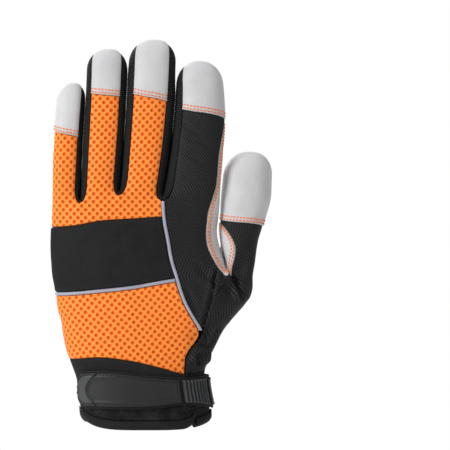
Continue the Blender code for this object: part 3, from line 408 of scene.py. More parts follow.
def surface(palm, x, height, depth):    # a point of the back or palm below the fingers, by x and height
    x, height, depth = np.broadcast_arrays(x, height, depth)
    point = np.zeros(x.shape + (3,))
    for digit in range(5):
        start = borderX(digit, height, palm) if digit else np.full(x.shape, -1.0)
        end = borderX(digit + 1, height, palm) if digit < 4 else np.full(x.shape, 1.0)
        inside = (x >= start) & (x < end)
        if inside.any():
            low = np.zeros(int(inside.sum()))
            high = np.ones_like(low)
            for _ in range(24):     # halving: the share at which the column reaches x
                middle = (low + high) / 2
                before = column(digit, palm, middle, height[inside], 0.0, 0.0)[..., 0] < x[inside]
                low = np.where(before, middle, low)
                high = np.where(before, high, middle)
            point[inside] = column(digit, palm, (low + high) / 2, height[inside], depth[inside], 0.0)
    return point


def wrist(angle, height, depth, hem=True, corner=0.0):
    # with a hem, the cuff's lower edge rises towards both sides, and by a quarter circle at the slit's corner
    x, y = handRing(height, angle, depth, True)
    x, y, z = np.broadcast_arrays(x, y, height)
    if hem:
        lift = np.where(y < 0, np.where(x < 0, 0.0085, 0.0050), 0.0065) * np.minimum(np.abs(x / 0.0425),
                1.0) ** 4.5
        near = np.clip((x - slitX + cornerReach) / cornerReach, 0.0, 1.0)
        lift = lift + corner * (1.0 - np.sqrt(1.0 - near ** 2))
        z = z + lift * (1.0 - smooth((z - 0.0062) / 0.0145))
    return np.stack([x, relief(x, y, z), z], axis=-1)


def softNoise(points, size, seed):
    # value noise: hashed corner values of a lattice of that size, smoothly blended, from -1 to 1
    at = points / size + seed * 17.31
    cell = np.floor(at).astype(np.int64)
    t = smooth(at - cell)
    total = np.zeros(points.shape[:-1])
    for corner in range(8):
        pick = np.array([corner & 1, corner >> 1 & 1, corner >> 2 & 1])
        c = cell + pick
        h = (c[..., 0] * 374761393 + c[..., 1] * 668265263 + c[...,
                2] * 1274126177 + seed * 69069) & 0x7fffffff
        h = ((h ^ (h >> 13)) * 1103515245 + 12345) & 0x7fffffff
        value = (h >> 7 & 0xffff) / 32767.5 - 1.0
        total += value * np.prod(np.where(pick, t, 1.0 - t), axis=-1)
    return total


def creases(points):    # each crease is a groove along a segment with a soft shoulder on either side
    x, y, z = points[..., 0] * 1000, points[..., 1] * 1000, points[..., 2] * 1000
    total = np.zeros_like(x)
    for facingSide, x0, z0, x1, z1, wide, deep in creaseRows:
        dx, dz = x1 - x0, z1 - z0
        along = ((x - x0) * dx + (z - z0) * dz) / (dx * dx + dz * dz)
        off = ((x - x0) * dz - (z - z0) * dx) / math.hypot(dx, dz) / wide
        ends = smooth((along + 0.1) / 0.35) * smooth((1.1 - along) / 0.35)
        facing = smooth(facingSide * y / 9.0 + 0.35)
        total += facing * ends * deep * (np.exp(-off ** 2) - 0.45 * np.exp(-((np.abs(off) - 2.0) / 1.1) ** 2))
    return total * 0.001


def folds(points, wrinkle):     # how far the cloth lies inside its smooth form
    quiet = smooth((points[..., 2] - 0.036) / 0.012)
    soft = (0.65 * softNoise(points, np.array([0.011, 0.011, 0.015]), 3)
            + 0.35 * softNoise(points, np.array([0.0047, 0.0047, 0.0060]), 5))
    return creases(points) + wrinkle * soft * mix(0.35, 1.0, quiet)


def rolled(distance, radius):   # quarter circle from radius at the edge to nothing
    inside = np.clip(1.0 - distance / radius, 0.0, 1.0)
    return radius * (1.0 - np.sqrt(1.0 - inside ** 2))


def holeDistance(u, v, across, along):
    # distance to the nearest point of a staggered lattice, in the same unit
    best = None
    for shift in (0.0, 0.5):
        du = np.mod(u / across + shift, 1.0) - 0.5
        dv = np.mod(v / (2 * along) + shift, 1.0) - 0.5
        d = np.hypot(du * across, dv * 2 * along)
        best = d if best is None else np.minimum(best, d)
    return best


def gridPart(at, share, rows, leftLine=None, rightLine=None, low=True, high=True, gap=0.00004, tip=None):
    # at(share, rows, depth) is the surface; a side with a line is an open seam above that height
    share, rows = np.broadcast_arrays(share, rows)
    base = at(share, rows, 0.0)
    wide = np.linalg.norm(np.diff(base, axis=1), axis=-1).sum(axis=1)[:, None]
    inset = np.minimum(gap / 2 / np.maximum(wide, 1e-4), 0.3)
    openLeft = 1.0 if leftLine is None else smooth((rows[:, :1] - leftLine) / 0.0015)
    openRight = 1.0 if rightLine is None else smooth((rows[:, -1:] - rightLine) / 0.0015)
    share = inset * openLeft + (1.0 - inset * (openLeft + openRight)) * share
    base = at(share, rows, 0.0)
    inward = (base - at(share, rows, 0.001)) / -0.001
    if tip:
        base, inward, rows = closeTip(base, inward, rows, *tip)
    run = np.linalg.norm(np.diff(base, axis=1), axis=-1)
    fromLeft = np.concatenate([np.zeros((len(base), 1)), np.cumsum(run, axis=1)], axis=1)
    fromRight = fromLeft[:, -1:] - fromLeft
    rise = np.linalg.norm(np.diff(base, axis=0), axis=-1)
    fromLow = np.concatenate([np.zeros((1, base.shape[1])), np.cumsum(rise, axis=0)], axis=0)
    fromHigh = fromLow[-1:] - fromLow
    edge = np.full(base.shape[:2], 1.0)
    edge = np.minimum(edge, fromLeft if leftLine is None else np.hypot(fromLeft,
            np.maximum(leftLine - rows, 0)))
    edge = np.minimum(edge, fromRight if rightLine is None else np.hypot(fromRight,
            np.maximum(rightLine - rows, 0)))
    if low:
        edge = np.minimum(edge, fromLow)
    if high:
        edge = np.minimum(edge, fromHigh)
    half = fromLeft - fromLeft[:, -1:] / 2
    return {"base": base, "inward": inward, "edge": edge, "rows": rows, "low": fromLow, "high": fromHigh,
            "cloth": np.stack([half * 1000, base[..., 2] * 1000], axis=-1), "across": half}


def closeTip(base, inward, rows, digit, palm):
    # adds rows over a fingertip: y runs to the seam over the dome, z follows the dome's own curve
    tip, dome = digitRows[digit, 1:3] * gloveLength
    last = base[-1]
    height = np.array(tip)
    middle, seamY, halfWidth, halfDepth = digitSize(digit, height)
    pull = np.array([0.25, 0.5, 0.72, 0.9, 1.0])[:, None]
    y = mix(last[None, :, 1], seamY + (1 if palm else -1) * 0.0001, pull)
    x = np.broadcast_to(last[:, 0], y.shape)
    reach = (np.abs((x - middle) / halfWidth) ** (2 / sectionPower)
             + np.abs((y - seamY) / halfDepth) ** (2 / sectionPower)) ** (sectionPower / 2)
    z = tip - dome + dome * (1.0 - np.clip(reach, 0, 1) ** domePower) ** (1 / domePower)
    z = np.maximum(z, last[None, :, 2])
    down = mix(inward[-1][None], np.array([0.0, 0.0, -1.0]), pull[..., None])
    more = np.stack([x, y, z], axis=-1)
    rows = np.concatenate([rows, np.broadcast_to(rows[-1:], y.shape)])
    return np.concatenate([base, more]), np.concatenate([inward, down]), rows


def putMesh(name, points, triangles, vectors=None, numbers=None):
    # a mesh from arrays, with its attributes
    mesh = bpy.data.meshes.new(name)
    mesh.vertices.add(len(points))
    mesh.vertices.foreach_set("co", points.astype(np.float32).ravel())
    mesh.loops.add(triangles.size)
    mesh.loops.foreach_set("vertex_index", triangles.astype(np.int32).ravel())
    mesh.polygons.add(len(triangles))
    mesh.polygons.foreach_set("loop_start", np.arange(0, triangles.size, 3, dtype=np.int32))
    mesh.update(calc_edges=True)
    mesh.validate()
    mesh.shade_smooth()
    for label, values in (vectors or {}).items():
        layer = mesh.attributes.new(label, "FLOAT_VECTOR", "POINT")
        layer.data.foreach_set("vector", values.astype(np.float32).ravel())
    for label, values in (numbers or {}).items():
        layer = mesh.attributes.new(label, "FLOAT", "POINT")
        layer.data.foreach_set("value", values.astype(np.float32).ravel())
    piece = bpy.data.objects.new(name, mesh)
    bpy.context.scene.collection.objects.link(piece)
    return piece


def addPiece(piece, material, slot, *nodes):
    piece.data.materials.append(material)
    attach(piece, "root")
    if nodes:
        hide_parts(*nodes)
    return piece


def sewShell(name, grids, settings, extra=None, toneAndShade=None):
    # closed shell: outer grids moved in by roll and folds, inner grids at the wall's depth, a skirt between
    outer, inner, cloth, edges, marks, quads = [], [], [], [], [], []
    start = 0
    for grid in grids:
        base = grid["base"]
        sunk = folds(base, settings["wrinkle"])
        sink = sunk - settings["proud"] + rolled(grid["edge"], settings["roll"])
        sink = sink - settings.get("puff", 0.0) * smooth(grid["edge"] / 0.008)
        if extra:
            sink = sink + extra(grid)
        outer.append((base + grid["inward"] * sink[..., None]).reshape(-1, 3))
        inner.append((base + grid["inward"] * (sunk + settings["wall"])[..., None]).reshape(-1, 3))
        cloth.append(np.concatenate([grid["cloth"], 0 * sink[..., None]], axis=-1).reshape(-1, 3))
        edges.append(grid["edge"].reshape(-1))
        marks.append((toneAndShade(grid) + 0 * grid["edge"] if toneAndShade else 0 * grid["edge"]).reshape(-1))
        rows, columns = base.shape[:2]
        index = start + np.arange(rows * columns).reshape(rows, columns)
        start += rows * columns
        quads.append(np.stack([index[:-1, :-1], index[:-1, 1:], index[1:, 1:], index[1:, :-1]],
                              axis=-1).reshape(-1, 4))
    outer, inner, cloth, edges, marks = [np.concatenate(part) for part in (outer, inner, cloth, edges, marks)]
    quads = np.concatenate(quads)
    _, first, weld = np.unique(np.round(outer * 2e6).astype(np.int64), axis=0, return_index=True,
                               return_inverse=True)
    quads = weld.reshape(-1)[quads]
    outer, inner, cloth, edges, marks = [part[first] for part in (outer, inner, cloth, edges, marks)]
    triangles = np.concatenate([quads[:, [0, 1, 2]], quads[:, [0, 2, 3]]])
    solid = ((triangles[:, 0] != triangles[:, 1]) & (triangles[:, 1] != triangles[:, 2])
             & (triangles[:, 2] != triangles[:, 0]))
    triangles = triangles[solid]
    a, b, c = [outer[triangles[:, k]] for k in range(3)]
    out = outer - inner
    if (np.cross(b - a, c - a) * out[triangles[:, 0]]).sum() < 0:
        triangles = triangles[:, ::-1]
    count = len(outer)
    sides = np.concatenate([triangles[:, [0, 1]], triangles[:, [1, 2]], triangles[:, [2, 0]]])
    code = sides[:, 0].astype(np.int64) * count + sides[:, 1]
    back = sides[:, 1].astype(np.int64) * count + sides[:, 0]
    rim = sides[~np.isin(code, back)]
    low, high = rim[:, 0], rim[:, 1]
    allTriangles = np.concatenate([
        triangles, triangles[:, ::-1] + count,
        np.stack([high, low, low + count], axis=-1), np.stack([high, low + count, high + count], axis=-1)])
    points = np.concatenate([outer, inner])
    cloth = np.concatenate([cloth, cloth])
    edges = np.concatenate([edges, 0 * edges])
    # the inner copy is set to 1 here and the materials paint it near black, as the shade inside the seams
    paintedSeamShade = np.concatenate([np.zeros(count), np.ones(count)])
    return putMesh(name, points, allTriangles, {"cloth": cloth}, {
        "edge": np.clip(1.0 - edges / 0.004, 0, 1), "paintedSeamShade": paintedSeamShade, "toneAndShade": np.concatenate([marks, marks])})


stitchCount = 0


def stitches(name, lines, settings):
    # capsules along each line: length a along it, half width b across, sunk at both ends
    global stitchCount
    ring = 6
    turns = np.linspace(0, 2 * math.pi, ring, endpoint=False)
    t = np.array([-1.0, -0.86, -0.45, 0.45, 0.86, 1.0])
    fat = np.sqrt(np.clip(1.0 - np.abs(t) ** 3, 0.0, 1.0)) * 0.98 + 0.02
    along = np.repeat(t, ring) * settings["length"] / 2
    across = (fat[:, None] * np.cos(turns)).ravel() * settings["thick"] / 2
    up = (fat[:, None] * np.sin(turns)).ravel() * settings["thick"] / 2
    up = up - np.repeat(np.abs(t) ** 3, ring) * settings["sink"] + settings["lift"]
    index = np.arange(len(t) * ring).reshape(len(t), ring)
    nextTurn = np.roll(index, -1, axis=1)
    quads = np.stack([index[:-1], nextTurn[:-1], nextTurn[1:], index[1:]], axis=-1).reshape(-1, 4)
    faces = np.concatenate([quads[:, [0, 1, 2]], quads[:, [0, 2, 3]],
                            np.stack([np.full(4, index[0, 0]), index[0, 2:], index[0, 1:-1]], axis=-1),
                            np.stack([np.full(4, index[-1, 0]), index[-1, 1:-1], index[-1, 2:]], axis=-1)])
    allPoints, allFaces, start = [], [], 0
    for points, normals in lines:
        run = np.concatenate([[0.0], np.cumsum(np.linalg.norm(np.diff(points, axis=0), axis=-1))])
        count = max(int(run[-1] / settings["pitch"]), 1)
        at = (np.arange(count) + 0.5) * run[-1] / count
        ahead = np.stack([np.interp(at + 0.0004, run, points[:, k]) - np.interp(at - 0.0004, run,
                points[:, k])
                          for k in range(3)], axis=-1)
        middle = np.stack([np.interp(at, run, points[:, k]) for k in range(3)], axis=-1)
        normal = np.stack([np.interp(at, run, normals[:, k]) for k in range(3)], axis=-1)
        ahead /= np.linalg.norm(ahead, axis=-1, keepdims=True)
        normal -= (normal * ahead).sum(axis=-1, keepdims=True) * ahead
        normal /= np.linalg.norm(normal, axis=-1, keepdims=True)
        sideways = np.cross(normal, ahead)
        slant = settings.get("slant", 0.0)
        ahead = ahead * math.cos(slant) + sideways * math.sin(slant)
        sideways = np.cross(normal, ahead)
        stitch = (middle[:, None] + along[None, :, None] * ahead[:, None] + across[None, :,
                None] * sideways[:, None]
                  + up[None, :, None] * normal[:, None])
        allPoints.append(stitch.reshape(-1, 3))
        allFaces.append((faces[None] + (start + np.arange(count) * len(along))[:, None, None]).reshape(-1, 3))
        start += count * len(along)
        stitchCount += count
    points = np.concatenate(allPoints)
    triangles = np.concatenate(allFaces)
    a, b, c = [points[triangles[:len(faces), k]] for k in range(3)]
    if (np.cross(b - a, c - a) * (a - points[:len(along)].mean(axis=0))).sum() < 0:
        triangles = triangles[:, ::-1]
    return putMesh(name, points, triangles)


def sewnRows(distance, rows, wide=0.0005):     # a bell-shaped furrow at each of the given distances
    return sum(np.exp(-((distance - at) / wide) ** 2) for at in rows)


def onPalm(x, z):   # points of the palm and their outward normals, from two depths a millimetre apart
    base = surface(True, x, z, 0.0)
    return base, (base - surface(True, x, z, 0.001)) / 0.001


def seamLine(at, share, rows, settings, lift=0.0):
    # a line of points lying on a dressed panel, with its normals
    share, rows = np.broadcast_arrays(share, rows)
    base = at(share, rows, 0.0)
    outward = (base - at(share, rows, 0.001)) / 0.001
    sink = folds(base, settings["wrinkle"]) - settings["proud"] - settings.get("puff", 0.0)
    return base - outward * (sink - lift)[..., None], outward


# materials

def newMaterial(name, metallic=0.0):
    material = bpy.data.materials.new(name)
    material.use_nodes = True
    tree = material.node_tree
    shader = tree.nodes["Principled BSDF"]
    shader.inputs["Metallic"].default_value = metallic
    return material, tree, shader


def addNode(tree, kind, inputs=None, **values):
    node = tree.nodes.new(kind)
    for label, value in values.items():
        setattr(node, label, value)
    for key, value in (inputs or {}).items():
        if isinstance(value, bpy.types.NodeSocket):
            tree.links.new(value, node.inputs[key])
        else:
            node.inputs[key].default_value = value
    return node


def calc(tree, operation, a, b=0.0, c=0.0, clamp=False):
    node = addNode(tree, "ShaderNodeMath", {0: a, 1: b, 2: c}, operation=operation, use_clamp=clamp)
    return node.outputs[0]


def ramp(tree, value, low, high, toLow=0.0, toHigh=1.0):
    node = addNode(tree, "ShaderNodeMapRange", {"Value": value, "From Min": low, "From Max": high,
                                                "To Min": toLow, "To Max": toHigh},
                                                interpolation_type="SMOOTHSTEP")
    return node.outputs["Result"]


def blendColour(tree, share, a, b, mode="MIX"):
    node = addNode(tree, "ShaderNodeMix", data_type="RGBA", blend_type=mode)
    for key, value in ((0, share), (6, a), (7, b)):
        if isinstance(value, bpy.types.NodeSocket):
            tree.links.new(value, node.inputs[key])
        else:
            node.inputs[key].default_value = (*value, 1.0) if isinstance(value, tuple) else value
    return node.outputs[2]


def newGroup(name, inputs, outputs):
    group = bpy.data.node_groups.new(name, "ShaderNodeTree")
    for label, kind, value in inputs:
        socket = group.interface.new_socket(name=label, in_out="INPUT", socket_type=kind)
        if value is not None:
            socket.default_value = value
    for label in outputs:
        group.interface.new_socket(name=label, in_out="OUTPUT", socket_type="NodeSocketFloat")
    return group, group.nodes.new("NodeGroupInput"), group.nodes.new("NodeGroupOutput")


def makeGrainGroup():   # pebbled leather: cell edges for the grain, slow noise for the hide's mottle
    group, given, result = newGroup("hideGrain", [("Vector", "NodeSocketVector", None),
                                                  ("Scale", "NodeSocketFloat", 900.0)], ["Height", "Mottle"])
    cells = addNode(group, "ShaderNodeTexVoronoi",
                    {"Vector": given.outputs["Vector"], "Scale": given.outputs["Scale"]},
                    feature="DISTANCE_TO_EDGE")
    fine = addNode(group, "ShaderNodeTexNoise", {"Vector": given.outputs["Vector"], "Scale": 1500.0,
                                                 "Detail": 3.0})
    slow = addNode(group, "ShaderNodeTexNoise", {"Vector": given.outputs["Vector"], "Scale": 70.0,
                                                 "Detail": 4.0})
    edge = ramp(group, cells.outputs["Distance"], 0.0, 0.25)
    height = calc(group, "MULTIPLY_ADD", fine.outputs["Fac"], 0.5, edge)
    group.links.new(height, result.inputs["Height"])
    group.links.new(slow.outputs["Fac"], result.inputs["Mottle"])
    return group


def makeHolesGroup():   # staggered holes: two lattices half a pitch apart, the nearer one counts
    group, given, result = newGroup("staggeredHoles", [
        ("Vector", "NodeSocketVector", None), ("Across", "NodeSocketFloat", 3.2),
        ("Along", "NodeSocketFloat", 1.9), ("Size", "NodeSocketFloat", 0.8)], ["Thread", "Depth"])
    parts = addNode(group, "ShaderNodeSeparateXYZ", {0: given.outputs["Vector"]})
    double = calc(group, "MULTIPLY", given.outputs["Along"], 2.0)
    found = []
    for shift in (0.0, 0.5):
        u = calc(group, "DIVIDE", parts.outputs[0], given.outputs["Across"])
        v = calc(group, "DIVIDE", parts.outputs[1], double)
        u = calc(group, "SUBTRACT", calc(group, "FLOORED_MODULO", calc(group, "ADD", u, shift), 1.0), 0.5)
        v = calc(group, "SUBTRACT", calc(group, "FLOORED_MODULO", calc(group, "ADD", v, shift), 1.0), 0.5)
        u = calc(group, "MULTIPLY", u, given.outputs["Across"])
        v = calc(group, "MULTIPLY", v, double)
        squares = calc(group, "MULTIPLY_ADD", u, u, calc(group, "MULTIPLY", v, v))
        found.append(calc(group, "SQRT", squares))
    near = calc(group, "DIVIDE", calc(group, "MINIMUM", found[0], found[1]), given.outputs["Size"])
    group.links.new(ramp(group, near, 0.75, 1.15), result.inputs["Thread"])
    group.links.new(ramp(group, near, 0.0, 1.2), result.inputs["Depth"])
    return group


def makeRibGroup():     # parallel ribs, a sine along one coordinate
    group, given, result = newGroup("knitRibs", [("Along", "NodeSocketFloat", 0.0), ("Pitch",
            "NodeSocketFloat", 1.1)], ["Height"])
    turn = calc(group, "MULTIPLY", calc(group, "DIVIDE", given.outputs["Along"], given.outputs["Pitch"]),
                2 * math.pi)
    height = calc(group, "MULTIPLY_ADD", calc(group, "SINE", turn), 0.5, 0.5)
    group.links.new(height, result.inputs["Height"])
    return group


def makeFibreGroup():   # fine fibres and slow unevenness of a cloth
    group, given, result = newGroup("clothFibre", [("Vector", "NodeSocketVector", None),
                                                   ("Scale", "NodeSocketFloat", 2500.0)], ["Height", "Shade"])
    fine = addNode(group, "ShaderNodeTexNoise",
                   {"Vector": given.outputs["Vector"], "Scale": given.outputs["Scale"],
                                                 "Detail": 4.0, "Roughness": 0.65})
    slow = addNode(group, "ShaderNodeTexNoise", {"Vector": given.outputs["Vector"], "Scale": 110.0,
                                                 "Detail": 3.0})
    group.links.new(fine.outputs["Fac"], result.inputs["Height"])
    group.links.new(slow.outputs["Fac"], result.inputs["Shade"])
    return group


def makeWearGroup():    # handling marks that gather along the seams
    group, given, result = newGroup("seamWear", [("Edge", "NodeSocketFloat", 0.0),
                                                 ("Vector", "NodeSocketVector", None)], ["Wear"])
    patch = addNode(group, "ShaderNodeTexNoise", {"Vector": given.outputs["Vector"], "Scale": 160.0,
                                                  "Detail": 3.0})
    amount = calc(group, "MULTIPLY", ramp(group, given.outputs["Edge"], 0.0, 1.0),
                  ramp(group, patch.outputs["Fac"], 0.3, 0.7, 0.45, 1.0))
    group.links.new(amount, result.inputs["Wear"])
    return group


groups = {"grain": makeGrainGroup(), "holes": makeHolesGroup(), "ribs": makeRibGroup(),
          "fibre": makeFibreGroup(), "wear": makeWearGroup()}


def useGroup(tree, key, inputs):
    node = tree.nodes.new("ShaderNodeGroup")
    node.node_tree = groups[key]
    for label, value in inputs.items():
        if isinstance(value, bpy.types.NodeSocket):
            tree.links.new(value, node.inputs[label])
        else:
            node.inputs[label].default_value = value
    return node


def placeOf(tree):
    return tree.nodes.new("ShaderNodeTexCoord").outputs["Object"]


def attributeOf(tree, label):
    return addNode(tree, "ShaderNodeAttribute", attribute_name=label)


def finishMaterial(tree, shader, colour, roughness, height, strength, distance):
    # painted shade: every panel's inner wall is coloured near black, so the gaps along its seams read as
    # shadow
    paintedSeamShade = ramp(tree, attributeOf(tree, "paintedSeamShade").outputs["Fac"], 0.25, 0.7)
    colour = blendColour(tree, paintedSeamShade, colour, (0.012, 0.012, 0.013))
    bump = addNode(tree, "ShaderNodeBump", {"Height": height, "Strength": strength, "Distance": distance})
    tree.links.new(colour, shader.inputs["Base Color"])
    tree.links.new(roughness, shader.inputs["Roughness"])
    tree.links.new(bump.outputs["Normal"], shader.inputs["Normal"])


def makeLeather(name, settings):
    material, tree, shader = newMaterial(name)
    place = placeOf(tree)
    grain = useGroup(tree, "grain", {"Vector": place, "Scale": settings["grain"]})
    wear = useGroup(tree, "wear", {"Edge": attributeOf(tree, "edge").outputs["Fac"], "Vector": place})
    colour = blendColour(tree, grain.outputs["Mottle"], settings["dark"], settings["light"])
    colour = blendColour(tree, calc(tree, "MULTIPLY", wear.outputs["Wear"], settings["wear"]), colour,
                         settings["worn"])
    # painted shade: the grain's low cell edges are darkened by up to 7 percent
    grainGrooveShade = ramp(tree, grain.outputs["Height"], 0.2, 0.8, 0.93, 1.0)
    shade = addNode(tree, "ShaderNodeCombineColor", {0: grainGrooveShade, 1: grainGrooveShade, 2: grainGrooveShade})
    colour = blendColour(tree, 1.0, colour, shade.outputs[0], "MULTIPLY")
    rough = ramp(tree, grain.outputs["Mottle"], 0.3, 0.7, settings["rough"] - 0.06, settings["rough"] + 0.06)
    finishMaterial(tree, shader, colour, rough, grain.outputs["Height"], 0.35, 0.00012)
    shader.inputs["Specular IOR Level"].default_value = 0.35
    shader.inputs["Sheen Weight"].default_value = 0.15
    shader.inputs["Sheen Roughness"].default_value = 0.5
    return material


def makeMesh(name, settings):
    material, tree, shader = newMaterial(name)
    place = placeOf(tree)
    cloth = attributeOf(tree, "cloth").outputs["Vector"]
    holes = useGroup(tree, "holes", {"Vector": cloth, "Across": settings["across"],
                                     "Along": settings["along"], "Size": settings["size"]})
    fibre = useGroup(tree, "fibre", {"Vector": place, "Scale": 2600.0})
    # painted highlight: the yarn turns to its highlight colour where the fine fibre noise rises
    yarn = blendColour(tree, fibre.outputs["Height"], settings["yarnDark"], settings["yarnHighlight"])
    # painted shade: the holes take the darker, redder deep colours for the shade inside them
    base = blendColour(tree, fibre.outputs["Shade"], settings["deep"], settings["holeShadeLight"])
    colour = blendColour(tree, holes.outputs["Thread"], base, yarn)
    height = calc(tree, "MULTIPLY_ADD", fibre.outputs["Height"], 0.35, holes.outputs["Depth"])
    rough = ramp(tree, holes.outputs["Thread"], 0.0, 1.0, 0.85, 0.62)
    finishMaterial(tree, shader, colour, rough, height, settings["strength"], settings["distance"])
    shader.inputs["Specular IOR Level"].default_value = 0.25
    shader.inputs["Sheen Weight"].default_value = settings["sheen"]
    shader.inputs["Sheen Roughness"].default_value = 0.4
    return material


def makeRibbed(name, settings):
    material, tree, shader = newMaterial(name)
    place = placeOf(tree)
    parts = addNode(tree, "ShaderNodeSeparateXYZ", {0: attributeOf(tree, "cloth").outputs["Vector"]})
    ribs = useGroup(tree, "ribs", {"Along": parts.outputs[1], "Pitch": settings["pitch"]})
    fibre = useGroup(tree, "fibre", {"Vector": place, "Scale": settings["fibre"]})
    # painted light and shade: the colour follows the ribs' height, lighter on the crests and darker in the
    # furrows
    share = calc(tree, "MULTIPLY", ribs.outputs["Height"], fibre.outputs["Height"])
    colour = blendColour(tree, ramp(tree, share, 0.1, 0.6), settings["dark"], settings["light"])
    height = calc(tree, "MULTIPLY_ADD", fibre.outputs["Height"], 0.5, ribs.outputs["Height"])
    rough = ramp(tree, fibre.outputs["Shade"], 0.3, 0.7, settings["rough"] - 0.05, settings["rough"] + 0.05)
    finishMaterial(tree, shader, colour, rough, height, settings["strength"], settings["distance"])
    shader.inputs["Specular IOR Level"].default_value = 0.2
    return material


def makeCloth(name, settings):
    # neoprene facing, binding, webbing, pile, rubber and thread: fibre or grain on a colour
    material, tree, shader = newMaterial(name)
    place = placeOf(tree)
    fibre = useGroup(tree, "fibre", {"Vector": place, "Scale": settings["fibre"]})
    share = calc(tree, "MULTIPLY_ADD", fibre.outputs["Shade"], 0.5,
                 calc(tree, "MULTIPLY", fibre.outputs["Height"], 0.5))
    colour = blendColour(tree, ramp(tree, share, 0.3, 0.7), settings["dark"], settings["light"])
    wear = useGroup(tree, "wear", {"Edge": attributeOf(tree, "edge").outputs["Fac"], "Vector": place})
    colour = blendColour(tree, calc(tree, "MULTIPLY", wear.outputs["Wear"], settings["wear"]), colour,
                         settings["worn"])
    # near black by the mark attribute: the badge's own dark moulding, and painted shade between the ribs and
    # on the end patch's field
    if "toneAndShadeColour" in settings:
        colour = blendColour(tree, attributeOf(tree, "toneAndShade").outputs["Fac"], colour, settings["toneAndShadeColour"])
    rough = ramp(tree, fibre.outputs["Shade"], 0.3, 0.7, settings["rough"] - 0.05, settings["rough"] + 0.05)
    finishMaterial(tree, shader, colour, rough, fibre.outputs["Height"], settings["strength"],
                   settings["distance"])
    shader.inputs["Specular IOR Level"].default_value = settings["specular"]
    return material


leatherLook = {"grain": 850.0, "dark": (0.48, 0.48, 0.49), "light": (0.67, 0.67, 0.68),
               "worn": (0.38, 0.37, 0.36), "wear": 0.42, "rough": 0.62}
leather = makeLeather("palmLeather", leatherLook)

# the yarn's lighter colour is a painted highlight
meshLook = {"across": 5.0, "along": 2.55, "size": 1.22, "yarnDark": (0.92, 0.19, 0.016),
            "yarnHighlight": (1.0, 0.37, 0.065),
            # the deep colours are painted shade in the holes
            "deep": (0.62, 0.070, 0.003), "holeShadeLight": (0.78, 0.11, 0.005), "strength": 0.7,
            "distance": 0.0004, "sheen": 0.10}
meshCloth = makeMesh("spacerMesh", meshLook)

# in the knit too, the deep colours are painted shade in the pores and the lighter yarn is a painted highlight
knitLook = {"across": 1.9, "along": 1.15, "size": 0.60, "yarnDark": (0.009, 0.0092, 0.0095),
            "yarnHighlight": (0.032, 0.033, 0.034), "deep": (0.0012, 0.0012, 0.0012),
            "holeShadeLight": (0.003, 0.003, 0.003), "strength": 0.8, "distance": 0.0003, "sheen": 0.04}
knitCloth = makeMesh("porousKnit", knitLook)

ribLook = {"pitch": 1.25, "fibre": 3000.0, "dark": (0.002, 0.002, 0.0022), "light": (0.030, 0.031, 0.033),
           "rough": 0.8, "strength": 0.6, "distance": 0.0003}
ribCloth = makeRibbed("ribbedKnit", ribLook)

neopreneLook = {"fibre": 3600.0, "dark": (0.005, 0.0052, 0.0055), "light": (0.014, 0.0145, 0.015),
                "worn": (0.022, 0.022, 0.023), "wear": 0.3, "rough": 0.74, "strength": 0.35,
                "distance": 0.00015, "specular": 0.18}
neoprene = makeCloth("neopreneFacing", neopreneLook)

pipingLook = {"fibre": 4500.0, "dark": (0.33, 0.33, 0.40), "light": (0.42, 0.42, 0.50),
              "worn": (0.25, 0.25, 0.30),
              "wear": 0.4, "rough": 0.42, "strength": 0.2, "distance": 0.00008, "specular": 0.5}
pipingCloth = makeCloth("reflectivePiping", pipingLook)

bindingLook = {"fibre": 2600.0, "dark": (0.004, 0.004, 0.0045), "light": (0.016, 0.016, 0.017),
               "worn": (0.03, 0.03, 0.031), "wear": 0.3, "rough": 0.78, "strength": 0.5, "distance": 0.0002,
               "specular": 0.2}
bindingCloth = makeCloth("cuffBinding", bindingLook)

pileLook = {"fibre": 1300.0, "dark": (0.002, 0.002, 0.002), "light": (0.030, 0.030, 0.031),
            "worn": (0.02, 0.02, 0.02), "wear": 0.1, "rough": 0.92, "strength": 1.0, "distance": 0.0006,
            "specular": 0.1}
pileCloth = makeCloth("loopPile", pileLook)

webbingLook = {"pitch": 0.9, "fibre": 2600.0, "dark": (0.003, 0.003, 0.0032), "light": (0.024, 0.024, 0.025),
               "rough": 0.7, "strength": 0.5, "distance": 0.00018}
webbingCloth = makeRibbed("strapWebbing", webbingLook)

# the near-black colour is the badge's own dark moulding and painted shade in the rubber's recesses
rubberLook = {"fibre": 1800.0, "dark": (0.036, 0.038, 0.040), "light": (0.055, 0.058, 0.061),
              "worn": (0.085, 0.087, 0.090), "toneAndShadeColour": (0.0125, 0.0128, 0.0132), "wear": 0.30, "rough": 0.50,
              "strength": 0.25, "distance": 0.0001, "specular": 0.35}
rubber = makeCloth("mouldedRubber", rubberLook)

threadLook = {"fibre": 5200.0, "dark": (0.82, 0.14, 0.008), "light": (0.98, 0.27, 0.035),
              "worn": (0.6, 0.08, 0.01),
              "wear": 0.2, "rough": 0.6, "strength": 0.4, "distance": 0.0001, "specular": 0.2}
orangeThread = makeCloth("orangeThread", threadLook)

blackThreadLook = {"fibre": 5200.0, "dark": (0.006, 0.006, 0.006), "light": (0.02, 0.02, 0.021),
                   "worn": (0.03, 0.03, 0.03), "wear": 0.1, "rough": 0.6, "strength": 0.4, "distance": 0.0001,
                   "specular": 0.3}
blackThread = makeCloth("blackThread", blackThreadLook)

print("materials made")

# panels

orangeStitch = {"pitch": 0.0022, "length": 0.0018, "thick": 0.00080, "sink": 0.00034, "lift": 0.00014,
                "slant": 0.12}
blackStitch = {"pitch": 0.0026, "length": 0.0018, "thick": 0.00060, "sink": 0.00030, "lift": 0.00010}


def acrossFor(cell, length=0.027):
    # shares across a column, closer together at both seams
    return graded(length, cell, 0.00012, 0.0020)


def digitLine(digit, palm, share):
    # the web's height across a column, straight from one crotch to the next
    if digit == 4:
        return crotch(3, palm) + 0.0 * share
    return mix(crotch(max(digit - 1, 0), palm), crotch(min(digit, 2), palm), share)


